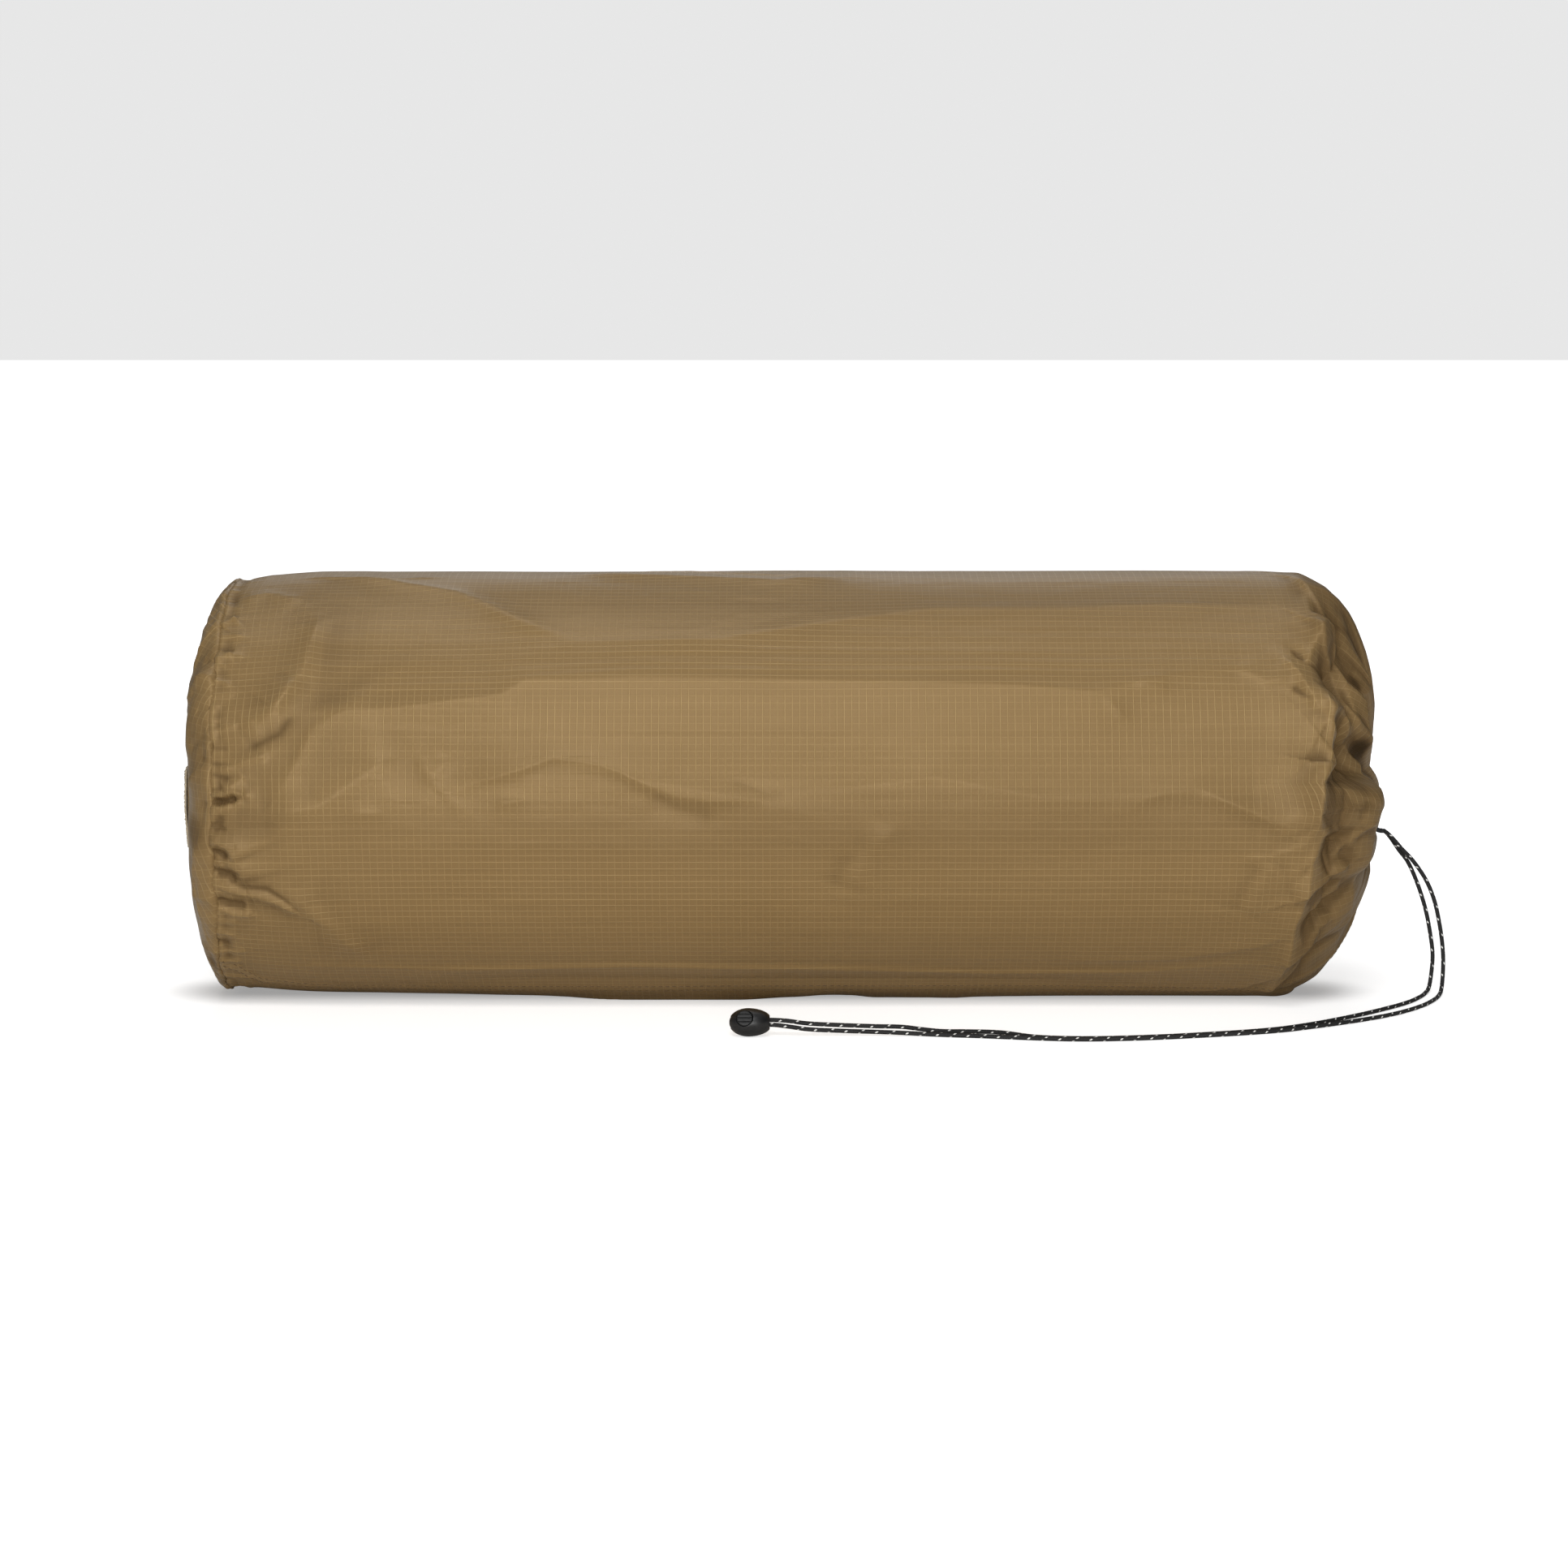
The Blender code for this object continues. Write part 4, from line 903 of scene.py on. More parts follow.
BARREL_CREASES = (
    Crease(FACET, 0.91, ((6, 23), (38, 25), (76, 26), (130, 30), (142, 34), (191, 35), (309, 34),
           (365, 33), (400, 31), (446, 37), (470, 38), (506, 31))),
    Crease(FACET, 1.04, ((24, -1), (49, 1), (77, 12), (88, 14.6))),
    Crease(STEP, 0.35, ((94, 14), (101, 8), (110, 14.6))),
    Crease(STEP, 0.52, ((112, 5), (118, 7), (143, 11), (155, 13.8), (173, 12.4), (185, 10.4),
           (195, 7.3), (210, 3.6), (228, 2.6), (247, 3.1))),
    Crease(FACET, 0.49, ((112, 5), (155, 13), (195, 8), (247, 3), (280, -2))),
    Crease(RIDGE, -0.20, ((236, 8), (255, 4.1), (262, 5.6))),
    Crease(FACET, 0.72, ((262, 5), (309, 7.3), (327, 9), (376, 3.6), (413, 3.6), (444, 4.8),
           (486, -1.5), (502, -1.5))),
    Crease(STEP, 0.29, ((416, 0.5), (421, 2.1), (434, 5.3), (448, 5.8), (471, 0), (487, -5.4))),
    Crease(RIDGE, 0.28, ((456, 3.1), (478, -2), (492, -4.7))),
    Crease(SOFT, 0.74, ((51, 79), (75, 74), (107, 67), (138, 54), (161, 47.5))),
    Crease(SOFT, 0.62, ((158, 82), (216, 78), (258, 74), (292, 79))),
    Crease(RIDGE, 0.28, ((30, 80), (75, 76), (104, 81))),
    Crease(RIDGE, 0.23, ((180, 84), (216, 87), (258, 80), (275, 86))),
    Crease(FACET, 0.98, ((150, 44), (168, 46), (230, 46.5), (272, 52), (329, 58), (385, 58),
           (441, 60), (483, 60), (497, 58.5))),
    Crease(FINE, 0.12, ((60, 31.5), (120, 34), (191, 37), (300, 37.5), (420, 37))),
    Crease(FINE, 0.10, ((90, 35), (191, 39.5), (330, 40), (450, 39.5))),
    Crease(FINE, 0.08, ((140, 42), (260, 43.5), (400, 43))),
    Crease(SOFT, 0.94, ((44, 58), (46, 54), (42, 38), (30, 26), (22, 22))),
    Crease(STEP, 0.29, ((76, 34.6), (59, 25.3), (47, 20.9), (41, 14), (30, 4))),
    Crease(RIDGE, -0.28, ((38, 25), (32, 20), (16, 15.8))),
    Crease(RIDGE, 0.21, ((66, -0.5), (77, -0.5))),
    Crease(RIDGE, 0.23, ((130, 1.5), (142, 3))),
    Crease(SOFT, -0.46, ((198, 5), (214, 0), (230, -2))),
    Crease(SOFT, -0.38, ((302, -8.6), (287, -14), (280, -22))),
    Crease(SOFT, 0.54, ((310, -4), (296, -12), (290, -22))),
    Crease(SOFT, -0.30, ((478, -13), (470, -20), (465, -30))),
    Crease(SOFT, 0.47, ((484, -13), (477, -20), (471, -30))),
    Crease(RIDGE, 0.23, ((466, -13), (482, -12), (502, -8))),
    Crease(STEP, 0.21, ((420, 33), (434, 32))),
    Crease(RIDGE, 0.23, ((406, 29), (414, 24))),
    Crease(STEP, 0.26, ((466, 38), (480, 34), (492, 35))),
    Crease(DROP, 0.47, ((44, -49.5), (97, -51), (190, -49), (270, -50.3), (356, -53), (424, -52.3),
           (479, -47.7))),
    Crease(STEP, 0.26, ((382, -48), (441, -46), (482, -40), (503, -34))),
    Crease(SOFT, -0.43, ((100, -57), (260, -58), (420, -59))),
    Crease(STEP, 0.29, ((440, -68), (478, -62), (498, -53))),
    Crease(SOFT, 0.54, ((34, -21), (50, -32), (66, -45))),
)

BASE_SEAM_CREASES = (
    Crease(RIDGE, 0.95, ((0, 54.6), (3, 56), (8, 58))),
    Crease(RIDGE, 0.75, ((0, 41.7), (3, 43), (8, 44.4))),
    Crease(SOFT, 0.65, ((14, 20), (20, 23.4), (28, 25.8), (33, 30.7), (37, 35.6))),
    Crease(RIDGE, 0.60, ((4, 9.5), (7, 11.2), (19, 13.4), (28, 14.8))),
    Crease(RIDGE, 0.50, ((5, 5.5), (10, 6.8), (17, 9))),
    Crease(RIDGE, 1.30, ((0, 4.2), (5, 4.1), (10, 5.1), (17, 4.0)), 0.8),
    Crease(RIDGE, -1.20, ((0, 2.4), (6, 2.5), (13, 3.3)), 0.7),
    Crease(RIDGE, 1.10, ((0, 0.8), (5, 0.9), (9, 1.9), (14, 2.2)), 0.7),
    Crease(STEP, 0.95, ((0, -6.9), (5, -8.6), (9, -9.8), (12, -13.5))),
    Crease(RIDGE, -0.90, ((0, -10.5), (5, -11.5), (8, -13)), 0.8),
    Crease(STEP, 1.10, ((0, -14.9), (8, -14.5), (13, -15.9), (15, -19.5))),
    Crease(RIDGE, -0.90, ((2, -17.5), (8, -17.5), (11, -20)), 0.8),
    Crease(STEP, 1.00, ((0, -20.8), (14, -23), (21, -23.5), (29, -25.2), (41, -29.6))),
    Crease(RIDGE, -0.55, ((10, -20.6), (25, -21.3), (34, -25), (41, -30))),
    Crease(RIDGE, 0.75, ((0, -27.9), (8, -29.8), (18, -29.8))),
    Crease(RIDGE, -0.60, ((0, -25.5), (7, -26.5), (15, -27)), 0.8),
    Crease(SOFT, 0.50, ((6, 67), (20, 68.5), (38, 63))),
)

MOUTH_CREASES = (
    Crease(FACET, 1.1, ((503, 80), (504, 66), (504, 57), (511, 54), (503, 43), (500, 40), (504, 34),
           (509, 31), (511, 25), (513, 15), (508, 7), (502, -1), (503, -4), (508, -6)), 0.8),
    Crease(FACET, 0.9, ((508, -6), (503, -14), (503, -23), (500, -33), (500, -47), (495, -62)), 0.8),
    Crease(STEP, 1.10, ((492, 84), (500, 78), (507, 66), (514, 55), (521, 48), (529, 41), (537, 34.3),
           (540, 27))),
    Crease(RIDGE, -1.10, ((508, 58), (517, 54.8), (525, 50), (534, 46)), 0.9),
    Crease(STEP, 1.40, ((498, 56), (506, 52.4), (511, 46), (520, 42.6), (527, 38), (535, 32),
           (542, 28)), 0.9),
    Crease(RIDGE, -1.30, ((511, 40), (523, 37), (532, 32)), 0.9),
    Crease(RIDGE, -1.20, ((492, 45), (499, 41), (504, 34.3), (509, 31), (514, 27.5)), 1.1),
    Crease(RIDGE, 0.90, ((488, 42), (496, 36), (501, 30), (506, 26)), 1.2),
    Crease(FINE, -0.50, ((492, 33), (497, 30.5), (503, 29))),
    Crease(STEP, 2.10, ((509, 23), (511, 25), (514, 27.3), (520, 29.2), (527, 28.5), (533, 25.3),
           (541, 23)), 1.0),
    Crease(RIDGE, 1.70, ((510, 25), (513, 22), (519, 17.8), (525, 15.5), (532, 13.4), (540, 12)), 0.9),
    Crease(SOFT, -3.40, ((519, 23), (525, 19), (531, 16.5), (540, 15)), 0.85),
    Crease(DROP, 2.20, ((512, 16), (517, 13), (512, 10), (507, 6), (504, 2.6), (502, -0.6),
           (504, -3.2), (509, -5))),
    Crease(SOFT, 0.80, ((514, 6), (525, 6), (536, 5), (548, 3), (556, 0)), 1.5),
    Crease(RIDGE, 1.00, ((545, -3), (538, -6), (531, -9.5), (525, -12.8), (519, -15))),
    Crease(SOFT, -2.20, ((506, -6), (514, -8.5), (523, -8.5), (535, -9)), 0.8),
    Crease(RIDGE, -1.30, ((508, -10), (514, -14.5), (519, -20)), 1.2),
    Crease(STEP, 1.50, ((494, -25), (502, -23), (507, -21.3), (512, -20.6), (523, -18.6),
           (536, -16.5))),
    Crease(RIDGE, -1.20, ((500, -27), (510, -25), (520, -23.5), (532, -22)), 1.1),
    Crease(RIDGE, 1.20, ((508, -31), (516, -28.6), (522, -27.2), (534, -25))),
    Crease(SOFT, -1.10, ((503, -39), (512, -35), (522, -33), (534, -32))),
    Crease(STEP, 0.90, ((494, -48), (501, -47.2), (507, -46), (513, -44), (520, -38), (532, -36))),
    Crease(STEP, 0.85, ((486, -66), (495, -63.8), (502, -57.7), (511, -52.5), (517, -44.5))),
    Crease(SOFT, -0.80, ((498, -14), (504, -18), (508, -26))),
)


# The camera of the photograph looks down a little: the cosine and sine of that, how far it is and how high
# it looks, and the distance at which the outline of the mouth end was measured, in metres.
LOOK_COS = 0.99255
LOOK_SIN = 0.12187
LOOK_AWAY = 1.8122
LOOK_HEIGHT = 0.09929
OUTLINE_AWAY = 1.8

LONG_SEAM = ((0, -52.8), (8, -55.7), (17, -62.8), (33, -64.5), (51, -66.2), (120, -66.6), (640, -66.6))

MOUTH_SWELLS = (
    Swell(-0.9, (503, 88), (11, 34)),
    Swell(-1.3, (507, 70), (8, 6)),
    Swell(6.4, (535, -0.5), (26, 13.0), 3.0),
    Swell(-7.5, (531, 19.0), (13, 4.0), 2.0, -3.0),
    Swell(2.6, (524, 26), (13, 4.2), 3.0, -1.0),
    Swell(-3.6, (553, 24.0), (8, 2.6), 2.0, -1.0),
    Swell(2.0, (545, 29.0), (12, 2.6), 3.0, -2.0),
    Swell(-2.4, (508, 13), (12, 5), 2.0, 3.0),
    Swell(-3.2, (524, -12.5), (16, 4.0), 2.0, -4.0),
    Swell(2.4, (524, -22), (20, 4.5), 3.0, 2.0),
    Swell(-2.8, (524, -31), (18, 3.4), 2.0, 3.0),
    Swell(2.2, (526, -40), (18, 4.5), 3.0, 4.0),
    Swell(-2.0, (520, -50), (20, 4.0), 2.0, 5.0),
    Swell(-2.6, (525, 38), (18, 3.2), 2.0, -5.0),
    Swell(2.2, (520, 46), (20, 4.0), 3.0, -6.0),
    Swell(-2.2, (528, 54), (16, 3.2), 2.0, -5.0),
    Swell(1.6, (520, 66), (18, 5.0), 3.0, -6.0),
)

# The three darkest creases of the gathered mouth, where no light reaches.
DEEP_SHADES = (
    Swell(0.95, (554, 25.0), (7.5, 2.4), 2.0, -1.0),
    Swell(0.80, (535, 63.5), (12, 1.6), 2.0, 3.5),
    Swell(0.70, (545, 49.5), (5, 1.5)),
)

# Painted shade: patches where the cloth's colour is darkened, at the gathered end, round the base seam and
# in broad bands of the barrel that face away from the lamps.
SACK_SHADES = (
    Swell(0.80, (532, 12), (9, 6.0), 3.0, -3.0),
    Swell(0.60, (553, 24.2), (8, 3.0), 3.0, -1.0),
    Swell(0.36, (513, 50), (12, 9), 3.0, -4.0),
    Swell(0.34, (514, 33), (9, 5), 3.0, -2.0),
    Swell(0.38, (512, -9), (8, 4), 3.0),
    Swell(0.40, (512, -24), (11, 4), 3.0, 2.0),
    Swell(0.34, (515, -40), (12, 5), 3.0, 3.0),
    Swell(0.42, (14, -3.5), (20, 4.6), 3.0, 2.0),
    Swell(0.36, (12, -18.0), (15, 3.6), 3.0, -4.0),
    Swell(0.22, (44, 62), (22, 9), 2.0, -6.0),
    Swell(0.20, (60, 32), (26, 3.0), 2.0, 10.0),
    Swell(0.20, (34, 22), (18, 2.6), 2.0, 6.0),
    Swell(0.28, (320, -4.0), (210, 10.5), 3.0, 2.0),
    Swell(0.22, (345, 60), (215, 10), 3.0),
)


@dataclass
class SackShape:
    """The plain shape under the folds: a barrel whose mouth end is drawn in."""

    seam_x: float = -260.6 * MM
    seam_radius: float = 97.5 * MM
    radius: float = 100.8 * MM
    taper: float = 46.0 * MM
    barrel: float = 501.2 * MM
    mouth_depth: float = 42.5 * MM
    fullness: float = 2.5
    mouth_drop: float = 11.9 * MM
    neck_radius: float = 17.2 * MM
    axis_z: float = 99.9 * MM
    run: np.ndarray = field(init=False)
    spine: np.ndarray = field(init=False)

    def __post_init__(self) -> None:
        """Works out the profile: x, radius and axis height by the length of cloth."""
        rows = [(self.seam_x + 2.5 * MM, self.seam_radius - 7.0 * MM, self.axis_z)]
        rows.append((self.seam_x + 0.6 * MM, self.seam_radius - 2.6 * MM, self.axis_z))
        for t in np.linspace(0.0, 1.0, 60):
            radius = self.seam_radius + (self.radius - self.seam_radius) * math.sin(t * math.pi / 2)
            rows.append((self.seam_x + self.taper * t, radius, self.axis_z))
        for t in np.linspace(0.0, 1.0, 80)[1:]:
            x = self.seam_x + self.taper + (self.barrel - self.taper) * t
            rows.append((x, self.radius, self.axis_z))
        last = math.acos((self.neck_radius / self.radius) ** (self.fullness / 2))
        power = 2 / self.fullness
        scale = self.mouth_depth / math.sin(last) ** power
        for t in np.linspace(0.0, 1.0, 240)[1:]:
            share = math.cos(last * t) ** power
            drop = self.mouth_drop * (1 - share) / (1 - self.neck_radius / self.radius)
            x = self.seam_x + self.barrel + math.sin(last * t) ** power * scale
            rows.append((x, self.radius * share, self.axis_z - drop))
        mouth_x, mouth_r, mouth_z = rows[-1]
        lip = ((0.8, 0.7), (1.1, 2.0), (1.1, 4.0), (0.5, 6.0), (-0.8, 7.4), (-2.5, 8.2), (-6.0, 8.6))
        for forward, inward in lip:
            rows.append((mouth_x + forward * MM, mouth_r - inward * MM, mouth_z))
        self.spine = np.array(rows)
        steps = np.hypot(np.diff(self.spine[:, 0]), np.diff(self.spine[:, 1]))
        self.run = np.concatenate([[0.0], np.cumsum(steps)])
        self.run -= self.run[2]

    def at(self, along: np.ndarray) -> tuple[np.ndarray, np.ndarray, np.ndarray, np.ndarray]:
        """The plain shape at places along the cloth.

        Args:
            along: lengths of cloth from the base seam, in metres.

        Returns:
            x, radius, axis height, and the slope of the profile as an angle from +X.
        """
        x, radius, height = (np.interp(along, self.run, self.spine[:, k]) for k in range(3))
        turn = np.arctan2(-np.gradient(radius, along), np.gradient(x, along))
        return x, radius, height, turn


@dataclass
class StuffSack:
    """The stuffed sack: its barrel of ripstop, its puckered base seam and its gathered mouth."""

    shape: SackShape = field(default_factory=SackShape)
    floor_gap: float = 0.15 * MM
    floor_press: float = 3.0 * MM
    base_lift: float = 2.8 * MM
    barrel_folds: float = 3.0
    seam_folds: float = 2.8
    mouth_folds: float = 2.2
    pucker_folds: float = 1.7
    far_folds: float = 2.6
    pleats: int = 17
    seed: int = 11

    def rows(self) -> np.ndarray:
        """Places of the rows along the cloth: close together at both ends."""
        start = self.shape.run[0]
        end = self.shape.run[-1]
        parts = [np.arange(start, 0.046, 0.0008)]
        parts += [np.arange(0.046, 0.478, 0.0021), np.arange(0.478, end, 0.0009)]
        return np.concatenate([*parts, [end]])

    def columns(self) -> np.ndarray:
        """Degrees of the columns, from -180 to 180, closer together where the front is seen."""
        degrees = np.linspace(-180.0, 180.0, 3601)
        weight = 0.42 + 0.58 * np.clip((120.0 - np.abs(degrees - 12.0)) / 30.0, 0.0, 1.0)
        total = np.concatenate([[0.0], np.cumsum((weight[1:] + weight[:-1]) / 2)])
        return np.interp(np.linspace(0.0, total[-1], 581)[:-1], total, degrees)

    def puckers(self) -> list[Crease]:
        """Small gathers all round the base seam, finer and closer than the larger folds."""
        random = np.random.default_rng(self.seed)
        found = []
        degree = -178.0
        while degree < 178.0:
            length = random.uniform(4.0, 15.0)
            height = random.uniform(0.25, 0.75) * random.choice([1.0, 1.0, -1.0])
            height *= float(np.interp(abs(degree - 90.0), [25.0, 40.0], [0.4, 1.0]))
            lean = random.uniform(-2.4, 2.4)
            line = ((-1.0, degree), (length * 0.5, degree + lean * 0.4), (length, degree + lean))
            found.append(Crease(RIDGE, height, line, random.uniform(0.55, 0.9)))
            degree += random.uniform(2.3, 5.5)
        return found

    def far_side(self) -> list[Crease]:
        """Long soft creases over the parts that the front doesn't show."""
        random = np.random.default_rng(self.seed + 5)
        found = []
        for _ in range(26):
            degree = random.uniform(98.0, 285.0)
            if abs(degree - 180.0) < 26.0:
                continue
            degree = degree - 360.0 if degree > 180.0 else degree
            start = random.uniform(20.0, 430.0)
            length = random.uniform(40.0, 160.0)
            drift = random.uniform(-9.0, 9.0)
            middle = (start + length / 2, degree + drift * 0.3 + random.uniform(-3.0, 3.0))
            line = ((start, degree), middle, (start + length, degree + drift))
            fold = (FACET, STEP, SOFT)[int(random.integers(3))]
            found.append(Crease(fold, random.uniform(0.3, 0.75), line))
        return found

    def pleat_height(self, along_mm: np.ndarray, degrees: np.ndarray) -> np.ndarray:
        """The gathers that deepen from the shoulder to the drawn-in neck, in mm.

        Args:
            along_mm: the rows, in mm of cloth from the base seam.
            degrees: the columns, in degrees up from the front.

        Returns:
            Their height by row and column.
        """
        random = np.random.default_rng(self.seed + 9)
        phases = np.cumsum(random.uniform(0.72, 1.28, self.pleats))
        phases = phases / phases[-1] * 360.0 - 180.0
        edges = np.concatenate([[-180.0], phases])
        place = np.interp(degrees, edges, np.arange(self.pleats + 1))
        sizes = random.uniform(0.6, 1.25, self.pleats)
        size = sizes[np.clip(place.astype(int), 0, self.pleats - 1)]
        wave = np.cos(2 * math.pi * place)
        ridge = np.sign(wave) * np.abs(wave) ** 0.75
        places = [492, 508, 530, 556, 580, 598, 612, 640]
        depth = np.interp(along_mm, places, [0.0, 0.35, 1.3, 2.6, 2.8, 1.0, 0.5, 0.3])
        fine = np.cos(2 * math.pi * place * 2 + 1.3) * 0.35
        return depth[:, None] * (ridge * size + fine)[None]

    def relief(self, along: np.ndarray, degrees: np.ndarray) -> np.ndarray:
        """The whole relief of the cloth over its plain shape, in metres.

        Args:
            along: the rows, in metres of cloth from the base seam.
            degrees: the columns, in degrees up from the front.

        Returns:
            The relief by row and column.
        """
        along_mm = along * 1000
        girth = self.shape.radius * 1000 * math.pi / 180
        height = crease_field(BARREL_CREASES, along_mm, degrees, girth) * self.barrel_folds
        height += crease_field(BASE_SEAM_CREASES, along_mm, degrees, girth) * self.seam_folds
        height += crease_field(MOUTH_CREASES, along_mm, degrees, girth) * self.mouth_folds
        height -= self.shoulder(along_mm, degrees)
        top = np.interp(degrees, [50, 75, 100, 165], [0, 0.9, 0.9, 0])[None]
        height += top * np.interp(along_mm, [20, 60, 500], [0, 1, 1])[:, None]
        height += swell_field(MOUTH_SWELLS, along_mm, degrees)
        corner = np.interp(degrees, [60, 85, 95, 120], [0, 1, 1, 0])[None]
        height += 0.8 * corner * np.interp(along_mm, [4, 16, 40, 70], [0, 1, 0.8, 0])[:, None]
        height += crease_field(self.puckers(), along_mm, degrees, girth) * self.pucker_folds
        height += crease_field(self.far_side(), along_mm, degrees, girth) * self.far_folds
        share, turns = self.shares(along_mm, degrees)
        inside = np.interp(along_mm, [0, 30, 480, 520], [0.3, 1.0, 1.0, 0.4])[:, None]
        height += inside * 0.55 * soft_lattice(1, share, turns, (7, 11))
        height += inside * 0.16 * soft_lattice(2, share, turns, (16, 34))
        crinkle = 1.0 - np.abs(soft_lattice(3, share, turns, (20, 60)))
        patchy = np.clip(soft_lattice(4, share, turns, (9, 13)) + 0.1, 0.0, 1.0)
        height += inside * 0.20 * (crinkle**3 - 0.3) * patchy
        height += self.pleat_height(along_mm, degrees)
        seam = np.exp(-(((along_mm - 0.8) / 1.3) ** 2)) * 0.22
        seam -= np.exp(-(((along_mm - 4.4) / 2.0) ** 2)) * 0.45
        height += seam[:, None] * (0.8 + 1.1 * soft_lattice(6, share, turns, (2, 48)))
        away = (degrees[None] - long_seam(along_mm)[:, None]) * girth
        height += 0.40 * np.clip(1.0 - np.abs(away - 4.0) / 4.6, 0.0, 1.0) ** 0.35
        return height / 1000

    def shares(self, along_mm: np.ndarray, degrees: np.ndarray) -> tuple[np.ndarray, np.ndarray]:
        """The place of each row and of each column as shares from 0 to 1, for the soft noise."""
        return np.clip((along_mm + 10) / 640.0, 0.0, 1.0), (degrees + 180.0) / 360.0

    def past(self, along_mm: np.ndarray, degrees: np.ndarray) -> np.ndarray:
        """How far each place lies past the sharp edge of the shoulder, in mm."""
        spots = [-180, -62, -47, -33, -23, -14, -6, -4, -1, 7, 15]
        spots += [25, 31, 34, 40, 43, 54, 57, 66, 80, 180]
        edge = [500, 495, 500, 500, 503, 503, 508, 503, 502, 508, 513]
        edge += [511, 509, 504, 500, 503, 511, 504, 504, 503, 500]
        return along_mm[:, None] - np.interp(degrees, spots, edge)[None]

    def shoulder(self, along_mm: np.ndarray, degrees: np.ndarray) -> np.ndarray:
        """How deep the front of the mouth end falls away past its sharp edge, in mm."""
        past = self.past(along_mm, degrees)
        fall = np.interp(past, [0.0, 9.0, 17.0, 30.0, 44.0], [0.0, 8.8, 13.0, 9.5, 1.0])
        return fall * np.interp(degrees, [-72, -45, -15, 5, 46, 70], [0.0, 0.5, 0.8, 1.0, 1.0, 0.0])[None]

    def painted_shade_patches(self, along_mm: np.ndarray, degrees: np.ndarray) -> np.ndarray:
        """Painted shade: how much darker the gathered end past its shoulder is painted, where it turns away
        from the lamps, plus the patches of SACK_SHADES, from 0 to 1.
        """
        cloud = 0.5 + 0.5 * soft_lattice(8, *self.shares(along_mm, degrees), (46, 30))
        past = self.past(along_mm, degrees)
        drawn = np.interp(past, [-1.0, 5.0, 34.0, 90.0], [0.0, 0.50, 0.44, 0.20]) * (0.55 + 0.75 * cloud)
        return drawn + swell_field(SACK_SHADES, along_mm, degrees)

    def set_back(self, along: np.ndarray, heights: np.ndarray) -> np.ndarray:
        """How far the mouth end lies back from its plain shape, by its height over the floor."""
        levels = [0, 7.7, 20, 32.5, 45, 57.5, 70, 82, 88, 94, 100, 108, 113, 119, 126, 139, 163, 182, 194]
        amounts = [16, 14.5, 13.5, 11.5, 10.5, 7.5, 6.6, 5.0, 4.2, 2.0, 0.6]
        amounts += [5.0, 9.8, 8.5, 6.5, 4.6, 3.8, 2.8, 2.8]
        back = np.interp(heights * 1000, levels, amounts) / 1000
        share = np.clip((along - 0.462) / 0.070, 0.0, 1.0)
        return -back * eased(share)[:, None]

    def hold_in(self, ahead: np.ndarray, aside: np.ndarray, heights: np.ndarray) -> np.ndarray:
        """Keeps the drawn-in end behind the outline that it has from the front.

        Args:
            ahead: x by row and column.
            aside: y by row and column.
            heights: z by row and column.

        Returns:
            The new x.
        """
        away = LOOK_COS * aside - LOOK_SIN * heights + LOOK_AWAY
        level = (LOOK_SIN * aside + LOOK_COS * heights - LOOK_HEIGHT) / away * OUTLINE_AWAY
        levels = [1.5, 7.7, 14, 20, 33, 45, 58, 70, 83, 89, 101.6]
        levels += [114, 127, 139, 152, 164, 177, 183, 189, 195, 201.5]
        outline = [243, 256.6, 261.2, 264.7, 272.1, 276.4, 281.4, 283, 284.5, 286.1, 284.5]
        outline += [281.8, 282.2, 282.6, 281.1, 278, 272.9, 269.8, 265.1, 258.2, 245.7]
        shown = np.interp((level + LOOK_HEIGHT) / LOOK_COS * 1000, levels, outline)
        limit = shown / 1000 * away / OUTLINE_AWAY
        return ahead - 0.92 * softened(ahead - limit - 0.6 * MM, 2.4 * MM)

    def on_floor(self, heights: np.ndarray, along: np.ndarray) -> np.ndarray:
        """Flattens the underside where it lies on the floor, and lifts it a little at the base.

        Args:
            heights: z by row and column.
            along: the rows, in metres of cloth from the base seam.

        Returns:
            The new z.
        """
        press = self.floor_press
        raised = self.floor_gap + softened(heights - self.floor_gap, press)
        blend = np.clip((4 * press - heights) / (4 * press), 0.0, 1.0)
        sunk = press * math.log(2.0) * np.exp(-np.maximum(heights, 0) / press)
        raised = np.maximum(raised - sunk, self.floor_gap)
        lift = self.base_lift * np.clip(1.0 - along / 0.13, 0.0, 1.0)[:, None] ** 1.3
        return np.where(blend > 0, raised, heights) + lift * blend

    def seam_shift(self, degrees: np.ndarray) -> np.ndarray:
        """How far the base seam wanders along X, by how far up it is."""
        spots = [-180.0, -90.0, -60.0, -30.0, 5.0, 20.0, 60.0, 90.0, 180.0]
        plain_shift = np.interp(degrees, spots, [-1.0, -3.0, -2.6, -0.4, 0.6, -0.2, 0.2, 0.4, -1.0])
        wander = 0.35 * np.sin(np.radians(degrees * 9)) + 0.3 * np.sin(np.radians(degrees * 23 + 60))
        return (plain_shift + wander) / 1000

